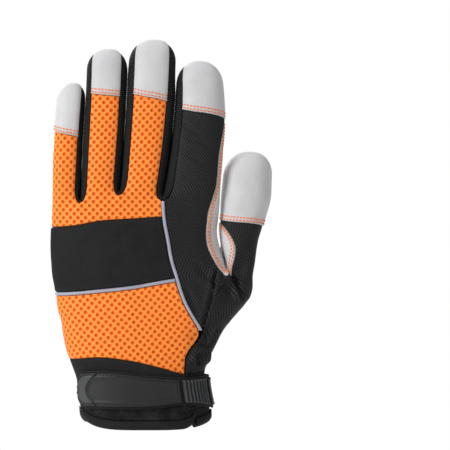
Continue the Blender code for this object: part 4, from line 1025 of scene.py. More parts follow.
def capLine(digit, share):
    # height of the cap's seam across a digit
    left, right = digitRows[digit, 7:9] * gloveLength
    return mix(left, right, share)


def lineAt(edges, which, digit, palm, share, guess):
    # height of a panel edge, given by x, found by repeated substitution
    height = guess + 0.0 * share
    for _ in range(6):
        x = column(digit, palm, share, height, 0.0)[..., 0]
        height = table(edges, which, x / palmWidth) * gloveLength
    return height


def between(low, high, cell, first=0.00012, reach=0.002, lowEnd=True, highEnd=True):
    # heights from low to high, close together near the ends asked for
    steps = graded(float(np.mean(high - low)), cell, first, reach, lowEnd, highEnd)
    return mix(low, high, steps[:, None])


def onColumn(digit, palm):
    return lambda share, rows, depth: column(digit, palm, share, rows, depth)


meshPiece = {"cell": 0.00060, "wall": 0.0026, "proud": 0.0, "roll": 0.0014, "wrinkle": 0.00020,
             "dimple": 0.00060, "tilt": 0.13}


def meshCloths(grid, digit, line):
    # across by x on the hand and by arc from the finger's own middle above the crotch
    base = grid["base"]
    middle = base.shape[1] // 2
    above = base[np.argmin(np.abs(base[:, middle, 2] - line)), middle, 0] + grid["across"]
    below = base[..., 0].copy()
    if digit == 0:
        run = grid["across"] - grid["across"][:, -1:]
        below = base[:, -1:, 0] + run
    share = smooth((base[..., 2] - line) / 0.014)
    u, v = mix(below, above, share) * 1000, base[..., 2] * 1000
    turn = meshPiece["tilt"] if line > gloveLength else 0.0     # the lower mesh's rows rise towards the thumb
    turned = u * math.cos(turn) + v * math.sin(turn), v * math.cos(turn) - u * math.sin(turn)
    grid["cloth"] = np.stack(turned, axis=-1)
    return grid


def meshDimples(grid):
    away = holeDistance(grid["cloth"][..., 0], grid["cloth"][..., 1], meshLook["across"], meshLook["along"])
    hole = 1.0 - smooth((away - 0.40) / 0.85)
    return meshPiece["dimple"] * hole * smooth((grid["edge"] - 0.0006) / 0.0010)


def sideLines(digit, palm):     # where a column's two sides become open seams
    left = None if digit == 0 else crotch(digit - 1, palm)
    right = crotch(digit, palm) if digit < 3 else None
    return left, right


capPiece = {"cell": 0.00060, "wall": 0.0013, "proud": 0.0005, "roll": 0.0009, "wrinkle": 0.00016,
            "channel": 0.00018,
            "rows": (0.0012, 0.0032), "bead": 0.00022, "across": 0.027, "thumbAcross": 0.034, "turns": 34}


def capChannel(part):   # two sewn furrows above the cap's turned-up edge, which stands a little proud
    furrows = capPiece["channel"] * sewnRows(part["low"], capPiece["rows"], 0.00055)
    return furrows - capPiece["bead"] * sewnRows(part["low"], (0.0003,), 0.0007)


def makeCaps():
    names = ["little_tip", "ring_tip", "middle_tip", "index_tip", "thumb_tip"]
    lines = []
    for digit, node in enumerate(names):
        share = acrossFor(capPiece["cell"], capPiece["thumbAcross" if digit == 4 else "across"])
        tip, dome = digitRows[digit, 1:3] * gloveLength
        line = capLine(digit, share) + seamGap
        lower = between(line, tip - dome + 0 * share, capPiece["cell"], highEnd=False)
        turn = np.linspace(0, domeTurn, capPiece["turns"])[1:, None]
        upper = tip - dome + dome * np.sin(turn) + 0 * share
        rows = np.concatenate([lower, upper])
        grid = gridPart(onColumn(digit, False), share, rows, tip=(digit, False))
        piece = sewShell(node + "_leather", [grid], capPiece, capChannel)
        addPiece(piece, leather, "leather", node)
        for above in capPiece["rows"]:
            across = np.linspace(0.02, 0.98, 60)
            height = capLine(digit, across) + 0.00012 + above
            lines.append(seamLine(onColumn(digit, False), across, height, capPiece, -0.00006))
        print("cap", node)
    addPiece(stitches("cap_stitches", lines, orangeStitch), orangeThread, "mesh")


palmPiece = {"cell": 0.00100, "wall": 0.0013, "proud": 0.0, "roll": 0.0010, "wrinkle": 0.00045, "turns": 26}


def makePalm():
    grids = []
    for digit in range(4):
        share = acrossFor(palmPiece["cell"])
        tip, dome = digitRows[digit, 1:3] * gloveLength
        low = lineAt(palmEdges, 1, digit, True, share, 0.17 * gloveLength) + seamGap
        line = digitLine(digit, True, share)
        under = between(low, line, palmPiece["cell"], highEnd=False)
        over = between(line, tip - dome + 0 * share, palmPiece["cell"], 0.00004, 0.004, True, False)[1:]
        turn = np.linspace(0, domeTurn, palmPiece["turns"])[1:, None]
        upper = tip - dome + dome * np.sin(turn) + 0 * share
        rows = np.concatenate([under, over, upper])
        left, right = sideLines(digit, True)
        grids.append(gridPart(onColumn(digit, True), share, rows, left, right, tip=(digit, True)))
    addPiece(sewShell("palm_hide", grids, palmPiece), leather, "leather", "palm_leather")
    print("palm")


def makeThumbLeather():
    share = acrossFor(palmPiece["cell"])
    web = crotch(3, True)
    tip, dome = digitRows[4, 1:3] * gloveLength
    under = between(0.255 * gloveLength + 0 * share, web + 0 * share, palmPiece["cell"], highEnd=False)
    bend = tip - dome + 0 * share
    over = between(web + 0 * share, bend, palmPiece["cell"], 0.00004, 0.005, True, False)[1:]
    upper = bend + dome * np.sin(np.linspace(0, domeTurn, palmPiece["turns"])[1:, None])
    grid = gridPart(onColumn(4, True), share, np.concatenate([under, over, upper]), tip=(4, True))
    addPiece(sewShell("thumb_hide", [grid], palmPiece), leather, "leather", "thumb_leather")
    print("thumb leather")


def makeMeshUpper():
    grids = []
    for digit in range(3):
        share = acrossFor(meshPiece["cell"])
        low = lineAt(backEdges, 4, digit, False, share, 0.53 * gloveLength) + seamGap
        line = digitLine(digit, False, share)
        under = between(low, line, meshPiece["cell"], highEnd=False)
        over = between(line, capLine(digit, share) - seamGap, meshPiece["cell"], 0.00004, 0.004)[1:]
        left, right = sideLines(digit, False)
        grid = gridPart(onColumn(digit, False), share, np.concatenate([under, over]), left, right)
        grids.append(meshCloths(grid, digit, crotch(min(digit, 2), False)))
    addPiece(sewShell("upper_mesh", grids, meshPiece, meshDimples), meshCloth, "mesh", "mesh_upper")
    print("upper mesh")


bandPiece = {"cell": 0.00090, "wall": 0.0030, "proud": 0.0006, "roll": 0.0016, "wrinkle": 0.00018,
             "puff": 0.0004}


def backGrids(lowColumn, highColumn, cell):     # three columns between two of the back's panel edges
    grids = []
    for digit in range(3):
        share = acrossFor(cell)
        low = lineAt(backEdges, lowColumn, digit, False, share, 0.35 * gloveLength) + seamGap
        high = lineAt(backEdges, highColumn, digit, False, share, 0.35 * gloveLength) - seamGap
        rows = between(low, high, cell)
        left = None if digit == 0 else 1.0
        right = None if digit == 2 else 1.0
        grid = gridPart(onColumn(digit, False), share, rows, left, right)
        grids.append(meshCloths(grid, digit, 1.0))
    return grids


def makeBack():
    grids = backGrids(3, 4, bandPiece["cell"])
    addPiece(sewShell("knuckle_padding", grids, bandPiece), neoprene, "neoprene", "knuckle_band")
    grids = backGrids(1, 2, meshPiece["cell"])
    addPiece(sewShell("lower_mesh", grids, meshPiece, meshDimples), meshCloth, "mesh", "mesh_lower")
    print("back")


knitPiece = {"cell": 0.00080, "wall": 0.0016, "proud": 0.0, "roll": 0.0010, "wrinkle": 0.00045}


def makeIndexBack():
    share = acrossFor(knitPiece["cell"], 0.034)
    line = digitLine(3, False, share)
    under = between(0.262 * gloveLength + 0 * share, line, knitPiece["cell"], highEnd=False)
    over = between(line, capLine(3, share) - seamGap, knitPiece["cell"], 0.00004, 0.004)[1:]
    grid = gridPart(onColumn(3, False), share, np.concatenate([under, over]))
    addPiece(sewShell("index_knit", [grid], knitPiece), knitCloth, "knit", "index_back_knit")
    print("index back")


def makeThumbBack():
    share = acrossFor(knitPiece["cell"], 0.055)
    low = 0.155 * gloveLength + 0.0 * share
    for _ in range(6):
        point = column(4, False, share, low, 0.0)
        x = point[..., 0] / palmWidth
        low = np.where(point[..., 1] > 0, table(palmEdges, 1, x), table(backEdges, 1, x))
        low = low * gloveLength + 2 * seamGap
    web = crotch(3, False) + 0 * share
    under = between(low, web, knitPiece["cell"], highEnd=False)
    over = between(web, capLine(4, share) - seamGap, knitPiece["cell"], 0.00004, 0.005)[1:]
    grid = gridPart(onColumn(4, False), share, np.concatenate([under, over]))
    addPiece(sewShell("thumb_knit", [grid], knitPiece), knitCloth, "knit", "thumb_back_knit")
    print("thumb back")


stripPiece = {"cell": 0.00038, "wall": 0.0012, "proud": -0.0001, "roll": 0.0005, "wrinkle": 0.00008,
              "rib": 0.00014, "end": 0.92}


def slitFill(border, height):
    # half the free gap between two fingers, growing as an arc above the crotch, gone by the shorter tip
    left, right = digitSize(border, height), digitSize(border + 1, height)
    gap = (right[0] - right[2]) - (left[0] + left[2])
    shorter = border if digitRows[border, 1] < digitRows[border + 1, 1] else border + 1
    tip, dome = digitRows[shorter, 1:3] * gloveLength
    rise = arc((height - crotch(border, False)) / fingerRamp)
    fade = 1.0 - smooth((height - tip + 1.5 * dome) / (1.2 * dome))
    return (np.maximum(gap / 2, 0.0) * rise + 0.00008) * fade


def stripGrid(border, cell):
    # both legs of a crotch's strip in one grid, from one fingertip down and up the other
    legs = []
    share = graded(0.013, 0.0008, 0.00015, 0.0015)
    for upper in (False, True):
        digit = border + 1 if upper else border
        where = np.array([0.0 if upper else 1.0])
        tip, dome = digitRows[digit, 1:3] * gloveLength
        tops, starts = [], []
        for palm in (False, True):
            starts.append(digitLine(digit, palm, where)[0] if border < 3 else crotch(3, palm))
            if border < 3:
                tops.append(tip - dome * (1.0 - math.sin(domeTurn * stripPiece["end"])))
            else:
                tops.append(capLine(digit, where)[0] - 0.0012)
        length = tops[0] - starts[0]
        t = graded(length, cell, 0.00003, 0.0045, True, True)[:, None]
        back = mix(starts[0], tops[0], t) + 0 * share
        palmRows = mix(starts[1], tops[1], t) + 0 * share
        at = lambda s, unused, depth, b=border, u=upper, r=back, p=palmRows: strip(b, u, s, r, p, depth)
        base = at(share + 0 * back, None, 0.0)
        deep = at(share + 0 * back, None, 0.001)
        legs.append((base, (deep - base) / 0.001))
    base = np.concatenate([legs[0][0][::-1], legs[1][0][1:]])
    inward = np.concatenate([legs[0][1][::-1], legs[1][1][1:]])
    run = np.linalg.norm(np.diff(base, axis=1), axis=-1)
    fromLeft = np.concatenate([np.zeros((len(base), 1)), np.cumsum(run, axis=1)], axis=1)
    rise = np.linalg.norm(np.diff(base[:, len(share) // 2], axis=0), axis=-1)
    along = np.concatenate([[0.0], np.cumsum(rise)])[:, None] + 0 * fromLeft
    edge = np.minimum(np.minimum(fromLeft, fromLeft[:, -1:] - fromLeft),
                      np.minimum(along, along[-1:] - along))
    half = fromLeft - fromLeft[:, -1:] / 2
    return {"base": base, "inward": inward, "edge": edge, "low": fromLeft,
            "high": fromLeft[:, -1:] - fromLeft,
            "along": along, "cloth": np.stack([half, along], axis=-1) * 1000, "rows": base[..., 2],
            "across": half}


saddlePiece = {"cell": 0.00060, "wall": 0.0013, "proud": 0.0, "roll": 0.0008, "wrinkle": 0.00020,
               "channel": 0.00015, "rows": (0.0013, 0.0032)}


def makeStrips():
    names = ["fourchette_little_ring", "fourchette_ring_middle", "fourchette_middle_index"]
    for border, node in enumerate(names):
        grid = stripGrid(border, stripPiece["cell"])
        def ribs(part, between=border):
            rib = stripPiece["rib"] * np.sin(2 * math.pi * part["cloth"][..., 1] / ribLook["pitch"])
            return -rib - slitFill(between, part["rows"]) * smooth(part["edge"] / 0.0026)
        addPiece(sewShell(node + "_knit", [grid], stripPiece, ribs), ribCloth, "ribbed", node)
    grid = stripGrid(3, saddlePiece["cell"])
    insets = saddlePiece["rows"]
    def channel(part):
        return saddlePiece["channel"] * sewnRows(part["edge"], insets)
    addPiece(sewShell("saddle_hide", [grid], saddlePiece, channel), leather, "leather", "saddle_patch")
    lines = []
    sunk = folds(grid["base"], saddlePiece["wrinkle"])
    surfaceAt = grid["base"] + grid["inward"] * sunk[..., None]
    total = grid["low"][:, -1:]
    for inset in insets:
        for fromSide in (True, False):
            wanted = np.minimum(inset, total[:, 0] * 0.42)
            wanted = wanted if fromSide else total[:, 0] - wanted
            keep = (grid["along"][:, 0] > inset) & (grid["along"][:, 0] < grid["along"][-1, 0] - inset)
            index = np.clip((grid["low"] < wanted[:, None]).sum(axis=1), 1, grid["low"].shape[1] - 1)
            row = np.arange(len(index))
            before, after = grid["low"][row, index - 1], grid["low"][row, index]
            t = ((wanted - before) / np.maximum(after - before, 1e-9))[:, None]
            line = mix(surfaceAt[row, index - 1], surfaceAt[row, index], t)
            lines.append((line[keep], -grid["inward"][row, index][keep]))
    addPiece(stitches("saddle_stitches", lines, orangeStitch), orangeThread, "mesh")
    print("strips")


pipingPiece = {"half": 0.00112, "wall": 0.0022, "proud": 0.0008, "roll": 0.0010, "wrinkle": 0.00010}


def makePiping():
    grids = []
    for digit in range(3):
        share = acrossFor(0.0009)
        low = lineAt(backEdges, 2, digit, False, share, 0.35 * gloveLength) + 0.00003
        high = lineAt(backEdges, 3, digit, False, share, 0.35 * gloveLength) - 0.00003
        rows = mix(low, high, np.linspace(0, 1, 12)[:, None])
        grid = gridPart(onColumn(digit, False), share, rows, None if digit == 0 else 1.0,
                        None if digit == 2 else 1.0)
        grids.append(grid)
    addPiece(sewShell("band_piping", grids, pipingPiece), pipingCloth, "piping", "piping_band")
    height = (gloveLength * np.linspace(0.2525, 0.583, 160))[:, None]
    def at(share, rows, depth):
        return surface(False, borderX(3, rows, False) + (2 * share - 1) * pipingPiece["half"], rows, depth)
    grid = gridPart(at, np.linspace(0, 1, 12)[None, :], height, gap=0.0)
    addPiece(sewShell("side_piping", [grid], pipingPiece), pipingCloth, "piping", "piping_side")
    print("piping")


cuffPiece = {"cell": 0.00090, "wall": 0.0030, "proud": 0.0, "roll": 0.0010, "wrinkle": 0.00025,
             "corner": 0.0055,
             "gap": math.radians(0.35), "low": 0.0037, "radius": 0.0375, "sewn": (0.0072, 0.0100, 0.0128),
             "furrow": 0.00028, "seam": 0.00045, "seamTurn": 2.68}
rimPiece = {"cell": 0.0011, "wrinkle": 0.00010, "middle": 0.0015, "reach": 0.0029}


def wristGrid(angles, low, high, cell, hem=False, corner=0.0):
    # a grid on the wrist between two heights, at the given angles
    rows = between(low, high, cell)
    at = lambda share, height, depth: wrist(np.interp(share, np.linspace(0, 1, len(angles)), angles), height,
                                            depth, hem, corner)
    share = np.linspace(0, 1, len(angles))
    grid = gridPart(at, share[None, :] + 0 * rows, rows, gap=0.0)
    grid["angle"] = angles[None, :] + 0 * rows
    return grid


def gradedAngles(start, end, cell):
    # angles from start to end, closer together at both ends
    return mix(start, end, graded(cuffPiece["radius"] * (end - start), cell, 0.00012, 0.002))


def makeCuff():
    # the slit lies near the thumb; the other side is a closed seam
    slit = float(handAngle(0.02 * gloveLength, slitX, True))
    back = (-side, slit - cuffPiece["gap"], cuffPiece["corner"])
    palm = (slit + cuffPiece["gap"], 3 * side - 0.0005, 0.0)
    for node, name, (start, end, corner) in (("cuff_back", "back_cuff", back),
                                             ("cuff_palm", "palm_cuff", palm)):
        angles = gradedAngles(start, end, cuffPiece["cell"])
        x = handRing(0.16 * gloveLength, angles, 0.0, True)[0]
        high = np.where(angles < side, table(backEdges, 1, x / palmWidth), table(palmEdges, 1, x / palmWidth))
        high = high * gloveLength - 0.00003
        grid = wristGrid(angles, cuffPiece["low"] + 0 * angles, high, cuffPiece["cell"], True, corner)
        def lines(part):    # three sewn lines round the lower edge and a seam near the slit on the palm
            rows = sewnRows(part["rows"], cuffPiece["sewn"])
            upright = sewnRows(part["angle"] * cuffPiece["radius"],
                               (cuffPiece["seamTurn"] * cuffPiece["radius"],), 0.0006)
            return cuffPiece["furrow"] * rows + cuffPiece["seam"] * upright
        addPiece(sewShell(name, [grid], cuffPiece, lines), neoprene, "neoprene", node)
    for node, name, (start, end, corner) in (("rim_binding_back", "back_rim", back),
                                             ("rim_binding_palm", "palm_rim", palm)):
        angles = gradedAngles(start, end, rimPiece["cell"])
        # a rolled channel: out over the cuff, round the bottom and up inside
        turn = np.linspace(0, math.pi, 15)
        outDepth = rimPiece["middle"] - rimPiece["reach"] * np.cos(turn)
        outHeight = rimPiece["reach"] * (1.0 - np.sin(turn))
        depths = np.concatenate([[-0.0003], [-0.0012], outDepth, [0.0042], [0.0033], [0.0033], [-0.0003]])
        heights = np.concatenate([[0.0061], [0.0058], outHeight, [0.0058], [0.0061], [0.0034], [0.0034]])
        path = wrist(angles, 0.003 + 0 * angles, 0.0)
        sunk = folds(path, rimPiece["wrinkle"])
        ring = np.stack([wrist(angles, z + 0 * angles, d + sunk, True, corner) for d,
                         z in zip(depths, heights)])
        count, length = ring.shape[:2]
        index = np.arange(count * length).reshape(count, length)
        after = np.roll(index, -1, axis=0)
        quads = np.stack([index[:, :-1], after[:, :-1], after[:, 1:], index[:, 1:]], axis=-1).reshape(-1, 4)
        faces = np.concatenate([quads[:, [0, 1, 2]], quads[:, [0, 2, 3]]])
        caps = []
        for k, order in ((0, -1), (length - 1, 1)):     # close both ends with a fan from the channel's floor
            loop = index[:, k]
            fan = np.stack([np.full(count - 2, loop[-1]), loop[:-2], loop[1:-1]], axis=-1)
            caps.append(fan[:, ::order])
        faces = np.concatenate([faces] + caps)
        points = ring.reshape(-1, 3)
        a, b, c = [points[faces[:len(quads) * 2, k]] for k in range(3)]
        if (np.cross(b - a, c - a) * a).sum() < 0:
            faces = faces[:, ::-1]
        along = np.broadcast_to(angles * 37.5, (count, length))
        cloth = np.stack([np.broadcast_to(np.arange(count)[:, None] * 0.6, (count, length)), along,
                          0 * along], axis=-1)
        piece = putMesh(name, points, faces, {"cloth": cloth.reshape(-1, 3)}, {"edge": np.zeros(len(points))})
        addPiece(piece, bindingCloth, "binding", node)
    print("cuff")


strapPiece = {"cell": 0.00070, "wrinkle": 0.00008, "roll": 0.0007, "thick": 0.0015, "badge": 0.0016,
              "pile": 0.0010,
              "start": -0.380, "endOnPalm": 0.285, "ribs": 8, "grooveX": 0.0340, "grooveBow": 0.0058,
              "stitchInset": 0.0012}


def strapAngles(start, endOnPalm):
    # the strap's two ends as angles, the second one past the thumb's side
    height = 0.1 * gloveLength
    return (float(handAngle(height, start * palmWidth, True)),
            math.pi - float(handAngle(height, endOnPalm * palmWidth, True)))


def strapBand(angle, inset, start, end, roundStart, roundEnd):
    # lower and upper edge along the strap, closing as half circles at rounded ends
    x = handRing(0.1 * gloveLength, angle, 0.0, True)[0] / palmWidth
    x = np.where(angle > side, 0.40, x)
    low = table(strapRows, 1, x) * gloveLength + inset
    high = table(strapRows, 2, x) * gloveLength - inset
    middle = (low + high) / 2
    half = (high - low) / 2
    path = (angle - start) / (end - start)
    length = 0.42 * palmWidth * (end - start)
    squeeze = np.ones_like(angle)
    for wanted, distance in ((roundStart, path), (roundEnd, 1.0 - path)):
        if wanted:
            reach = np.clip(distance * length / half, 0.0, 1.0)
            squeeze = np.minimum(squeeze, np.sqrt(np.maximum(1.0 - (1.0 - reach) ** 2, 0.02)))
    return middle - half * squeeze, middle + half * squeeze


def pastGroove(part):
    # how far a point lies past the badge's groove, a parabola that bows towards the rounded end
    low, high = part["band"]
    height = np.clip((part["base"][..., 2] - low) / (high - low), 0, 1)
    return part["base"][..., 0] + strapPiece["grooveX"] - strapPiece["grooveBow"] * (2.0 * height - 1.0) ** 2


def moulded(part):      # the badge's relief: groove, border and field
    past = pastGroove(part)
    groove = 0.0009 * np.exp(-(past / 0.0006) ** 4)
    border = 0.00045 * (1.0 - smooth((part["edge"] - 0.0016) / 0.0006))
    field = 0.00030 * smooth((part["edge"] - 0.0030) / 0.0008) * smooth(past / 0.002)
    return groove + border + field


def blacked(part):      # black but for the crescent at the rounded end
    return 1.0 - smooth((-pastGroove(part) - 0.0007) / 0.0005) * smooth((part["edge"] - 0.0018) / 0.0006)


def ribGap(part):       # 1 between the ribs, a steep cosine along the strap
    first, last = part["span"]
    turns = strapPiece["ribs"] * (part["angle"] - first) / (last - first)
    return smooth(0.5 + 1.1 * np.cos(2 * math.pi * turns))


def ribbed(part):
    return 0.0009 * ribGap(part)


def framed(part):       # a raised field inside a furrow
    return 0.00040 * sewnRows(part["edge"], (0.0022,),
                              0.0006) + 0.0002 * smooth((part["edge"] - 0.0034) / 0.0008)


def shaded(part):
    return 0.75 * smooth((part["edge"] - 0.0034) / 0.0006)


def strapPlate(name, nodes, span, shares, rounded, inset, cell, shell, relief, toneAndShade):
    # a rubber plate on the strap, narrower than it by inset on both sides, between two angles
    angles = mix(*span, shares)
    low, high = strapBand(angles, inset, *span, *rounded)
    grid = wristGrid(angles, low, high, cell)
    grid["band"] = (low, high)
    grid["span"] = span
    addPiece(sewShell(name, [grid], shell, relief, toneAndShade), rubber, "rubber", *nodes)
    return angles, low, high


def makeStrap():
    height = 0.1 * gloveLength
    loopTop = strapPiece["pile"] + 0.00045
    strapLow = loopTop + 0.0002
    strapTop = strapLow + strapPiece["thick"]
    first, last = strapAngles(strapPiece["start"], strapPiece["endOnPalm"])
    angles = mix(first, last, graded(0.135, 0.0009, 0.00008, 0.008))
    low, high = strapBand(angles, 0.0, first, last, True, True)
    grid = wristGrid(angles, low, high, strapPiece["cell"])
    shell = {"wall": -strapLow, "proud": strapTop, "roll": strapPiece["roll"],
             "wrinkle": strapPiece["wrinkle"]}
    addPiece(sewShell("strap_band", [grid], shell), webbingCloth, "webbing", "wrist_strap")

    a = float(handAngle(height, -0.33 * palmWidth, True))
    b = float(handAngle(height, slitX - 0.0008, True))
    angles = gradedAngles(a, b, 0.0007)
    grid = wristGrid(angles, 0.0066 + 0 * angles, 0.128 * gloveLength + 0 * angles, 0.0007, True,
                     cuffPiece["corner"])
    def pile(part):
        return 0.00030 * (0.5 + softNoise(part["base"], 0.0009, 11))
    shell = {"wall": -0.00045, "proud": loopTop, "roll": 0.0006, "wrinkle": 0.00005}
    addPiece(sewShell("pile_patch", [grid], shell, pile), pileCloth, "pile", "loop_patch")

    def angleAt(x):
        return float(handAngle(height, x * palmWidth, True))
    plateLow = strapTop + 0.0001
    plateTop = plateLow + strapPiece["badge"]
    shell = {"wall": -plateLow, "proud": plateTop, "roll": 0.0006, "wrinkle": 0.00004}
    perMetre = 1.0 / (0.42 * palmWidth)     # angle for each metre along the strap, about
    angles, low, high = strapPlate(
        "badge_plate", ["strap_badge"], (first + 0.0016 * perMetre, angleAt(0.205)),
        graded(0.065, 0.0006, 0.00008, 0.008), (True, False), 0.0016, 0.0006, shell, moulded, blacked)
    inset = strapPiece["stitchInset"]
    keep = high - low > 2 * inset + 0.001
    edgeLines = []
    for heights in (low + inset, high - inset):
        base = wrist(angles[keep], heights[keep], 0.0)
        outward = (base - wrist(angles[keep], heights[keep], 0.001)) / 0.001
        edgeLines.append((base + outward * (plateTop - 0.00045 - folds(base, 0.00004)[:, None]), outward))
    addPiece(stitches("badge_stitches", edgeLines, blackStitch), blackThread, "binding")

    # the gaps between the ribs are coloured near black as painted shade in the recesses
    strapPlate("rib_plate", ["badge_ribs"], (angleAt(0.222), angleAt(0.345)), np.linspace(0, 1, 145),
               (False, False), 0.0016, 0.0008, shell, ribbed, ribGap)

    # moulded patch on the strap's other end, round the thumb's side to the palm
    shell = {"wall": -plateLow, "proud": plateLow + 0.0011, "roll": 0.0005, "wrinkle": 0.00004}
    strapPlate("strap_end_patch", [], (angleAt(0.358), last - 0.0020 * perMetre),
               graded(0.042, 0.0006, 0.00008, 0.008), (False, True), 0.0020, 0.0006, shell, framed, shaded)
    print("strap")


padPiece = {"length": 0.045, "width": 0.0245, "lean": math.radians(25.5), "wrinkle": 0.00030, "thick": 0.0036,
            "x": 0.066, "z": 0.348, "edge": 0.0010, "gap": 0.0003, "furrow": 0.00022,
            "rows": (0.0014, 0.0034)}


def makePad():
    settings = padPiece
    turns = np.linspace(0, 2 * math.pi, 120, endpoint=False)
    reach = 1.0 - graded(0.012, 0.0006, 0.00010, 0.0015, True, False)[:-1]
    centreX, centreZ = settings["x"] * palmWidth, settings["z"] * gloveLength
    rows = reach[:, None]
    u = rows * settings["length"] / 2 * spower(np.cos(turns), 0.42)
    v = rows * settings["width"] / 2 * spower(np.sin(turns), 0.42)
    x = centreX + u * math.sin(settings["lean"]) + v * math.cos(settings["lean"])
    z = centreZ + u * math.cos(settings["lean"]) - v * math.sin(settings["lean"])
    base, outward = onPalm(x, z)
    top, topOut = onPalm(np.array([centreX]), np.array([centreZ]))
    inset = (1.0 - rows) * settings["width"] / 2 + 0 * u
    sunk = folds(base, settings["wrinkle"])
    swell = mix(settings["edge"], settings["thick"], smooth((inset - 0.0036) / 0.0045))
    swell = swell - settings["furrow"] * sewnRows(inset, settings["rows"]) - rolled(inset, 0.0006)
    outer = base + outward * (settings["gap"] + swell - sunk)[..., None]
    inner = base + outward * (settings["gap"] - sunk)[..., None]
    topSunk = folds(top, settings["wrinkle"])
    crown = top + topOut * (settings["gap"] + settings["thick"] - topSunk)[:, None]
    floor = top + topOut * (settings["gap"] - topSunk)[:, None]
    rings, count = outer.shape[:2]
    points = np.concatenate([outer.reshape(-1, 3), crown, inner.reshape(-1, 3), floor])
    index = np.arange(rings * count).reshape(rings, count)
    after = np.roll(index, -1, axis=1)
    quads = np.stack([index[:-1], after[:-1], after[1:], index[1:]], axis=-1).reshape(-1, 4)
    faces = np.concatenate([quads[:, [0, 1, 2]], quads[:, [0, 2, 3]],
                            np.stack([index[-1], after[-1], np.full(count, rings * count)], axis=-1)])
    base0 = rings * count + 1
    under = faces[:, ::-1] + base0
    sideFaces = np.concatenate([np.stack([after[0], index[0], index[0] + base0], axis=-1),
                                np.stack([after[0], index[0] + base0, after[0] + base0], axis=-1)])
    allFaces = np.concatenate([faces, under, sideFaces])
    a, b, c = [points[faces[:, k]] for k in range(3)]
    if (np.cross(b - a, c - a) * outward[0, 0]).sum() < 0:
        allFaces = allFaces[:, ::-1]
    edge = np.concatenate([inset.ravel(), [0.012], 0 * inset.ravel(), [0.0]])
    piece = putMesh("heel_padding", points, allFaces, {"cloth": points * 1000},
                    {"edge": np.clip(1.0 - edge / 0.004, 0, 1)})
    addPiece(piece, leather, "leather", "heel_pad")
    lines = []
    for at in settings["rows"]:
        ring = np.interp(at, inset[:, 0], np.arange(rings))
        k, t = int(ring), ring - int(ring)
        line = mix(outer[k], outer[k + 1], t)
        normal = outward[k]
        lines.append((np.concatenate([line, line[:1]]), np.concatenate([normal, normal[:1]])))
    addPiece(stitches("pad_stitches", lines, orangeStitch), orangeThread, "mesh")
    print("pad")


tabPiece = {"wrinkle": 0.00034, "thick": 0.0012, "channel": 0.00012, "gap": 0.0003, "rows": (0.0014, 0.0034),
            "top": 0.229, "low": 0.0066, "topReach": 0.0085, "rowReach": 0.0071, "rowHalf": 0.0097}


def tabOutline(share):
    # heights, half widths and middles: a tapering tab whose top closes as half a circle
    top = tabPiece["top"] * gloveLength
    height = mix(tabPiece["low"], top, share)
    half = mix(0.1085, 0.0915, share) * palmWidth
    reach = (top - height) / tabPiece["topReach"]
    closed = np.sqrt(np.maximum(1.0 - (1.0 - np.clip(reach, 0, 1)) ** 2, 0.004))
    half = half * np.where(reach < 1.0, closed, 1.0)
    return height, half, mix(-0.040, -0.097, share) * palmWidth


def makeTab():
    share = graded(0.051, 0.0007, 0.00010, 0.0030)[:, None]
    across = graded(0.022, 0.0007, 0.00012, 0.0020)[None, :]
    def at(s, rows, depth):
        height, half, middle = tabOutline(rows)
        return surface(True, middle + half * (2 * s - 1), height, depth)
    grid = gridPart(at, across, share, gap=0.0)
    shell = {"wall": -tabPiece["gap"], "proud": tabPiece["gap"] + tabPiece["thick"], "roll": 0.0006,
             "wrinkle": tabPiece["wrinkle"]}
    def channel(part):
        return tabPiece["channel"] * sewnRows(part["edge"], tabPiece["rows"])
    addPiece(sewShell("tab_hide", [grid], shell, channel), leather, "leather", "wrist_tab")
    lines = []
    t = np.linspace(0.04, 0.985, 200)
    reach, half0 = tabPiece["rowReach"], tabPiece["rowHalf"]
    for inset in tabPiece["rows"]:
        height, half, middle = tabOutline(t)
        keep = height < tabPiece["top"] * gloveLength - inset
        inner = np.maximum(half[keep] - inset, 0.0005)
        under = tabPiece["top"] * gloveLength - height[keep]
        arch = np.sqrt(np.maximum(1.0 - (1.0 - np.clip((under - inset) / reach, 0, 1)) ** 2, 0.0))
        inner = np.where(under < reach + inset, np.minimum(inner, (half0 - inset) * arch), inner)
        x = np.concatenate([middle[keep] - inner, (middle[keep] + inner)[::-1]])
        z = np.concatenate([height[keep], height[keep][::-1]])
        base, outward = onPalm(x, z)
        sunk = folds(base, tabPiece["wrinkle"])
        lines.append((base + outward * (tabPiece["gap"] + tabPiece["thick"] - sunk)[:, None], outward))
    addPiece(stitches("tab_stitches", lines, orangeStitch), orangeThread, "mesh")
    print("tab")


makeCaps()
makePalm()
makeThumbLeather()
makeMeshUpper()
makeBack()
makeIndexBack()
makeThumbBack()
makeStrips()
makePiping()
makeCuff()
makeStrap()
makePad()
makeTab()
print("stitches", stitchCount)

# stage, light and camera

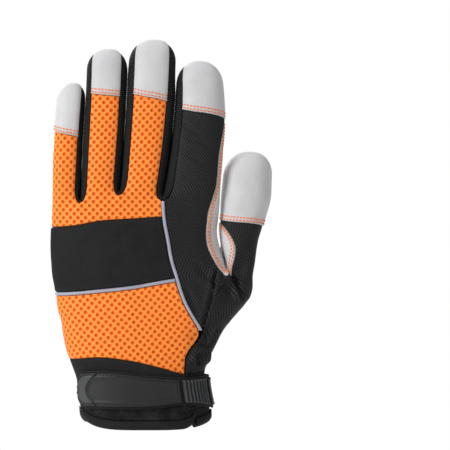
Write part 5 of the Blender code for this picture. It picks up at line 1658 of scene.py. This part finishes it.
stageSettings = {"floor": -0.050, "floorReach": (-2.5, 0.45), "pixel": 0.2894 / 450, "distance": 2.0}
floorMesh = bpy.data.meshes.new("floor")
near, far = stageSettings["floorReach"]
floorMesh.from_pydata([(-2.5, near, stageSettings["floor"]), (2.5, near, stageSettings["floor"]),
                       (2.5, far, stageSettings["floor"]), (-2.5, far, stageSettings["floor"])], [],
                       [(0, 1, 2, 3)])
floor = bpy.data.objects.new("floor", floorMesh)
bpy.context.scene.collection.objects.link(floor)
paper, _, paperShader = newMaterial("paleFloor")
paperShader.inputs["Base Color"].default_value = (0.86, 0.86, 0.86, 1.0)
paperShader.inputs["Roughness"].default_value = 0.9
floorMesh.materials.append(paper)

scene = bpy.context.scene
scene.view_settings.view_transform = "Standard"
world = bpy.data.worlds.new("studio")
scene.world = world
world.use_nodes = True
worldTree = world.node_tree
backdrop = worldTree.nodes["Background"]
backdrop.inputs["Color"].default_value = (1.0, 1.0, 1.0, 1.0)
backdrop.inputs["Strength"].default_value = 0.33
seen = addNode(worldTree, "ShaderNodeBackground", {"Color": (1.0, 1.0, 1.0, 1.0), "Strength": 1.0})
path = worldTree.nodes.new("ShaderNodeLightPath")
chosen = addNode(worldTree, "ShaderNodeMixShader", {0: path.outputs["Is Camera Ray"]})
worldTree.links.new(backdrop.outputs[0], chosen.inputs[1])
worldTree.links.new(seen.outputs[0], chosen.inputs[2])
worldTree.links.new(chosen.outputs[0], worldTree.nodes["World Output"].inputs[0])

for lightName, place, size, power in (("keyLight", (-1.5, -1.15, 1.0), 0.7, 33.0),
                                      ("fillLight", (1.2, -1.3, 0.5), 1.0, 2.6),
                                      ("topLight", (0.1, 0.3, 1.4), 0.8, 6.0),
                                      ("backLight", (-0.7, 1.5, 1.0), 0.8, 22.0)):
    lightData = bpy.data.lights.new(lightName, "AREA")
    lightData.size = size
    lightData.energy = power
    light = bpy.data.objects.new(lightName, lightData)
    light.location = place
    light.rotation_euler = (Vector((0.0, 0.0, 0.12)) - Vector(place)).to_track_quat("-Z", "Y").to_euler()
    scene.collection.objects.link(light)

cameraData = bpy.data.cameras.new("camera")
camera = bpy.data.objects.new("camera", cameraData)
camera.location = (0.0514, -stageSettings["distance"], 0.1305)
camera.rotation_euler = (math.pi / 2, 0.0, 0.0)
cameraData.sensor_width = 36.0
cameraData.lens = 36.0 * stageSettings["distance"] / (450 * stageSettings["pixel"])
cameraData.clip_start = 0.05
cameraData.clip_end = 20.0
scene.collection.objects.link(camera)
scene.camera = camera
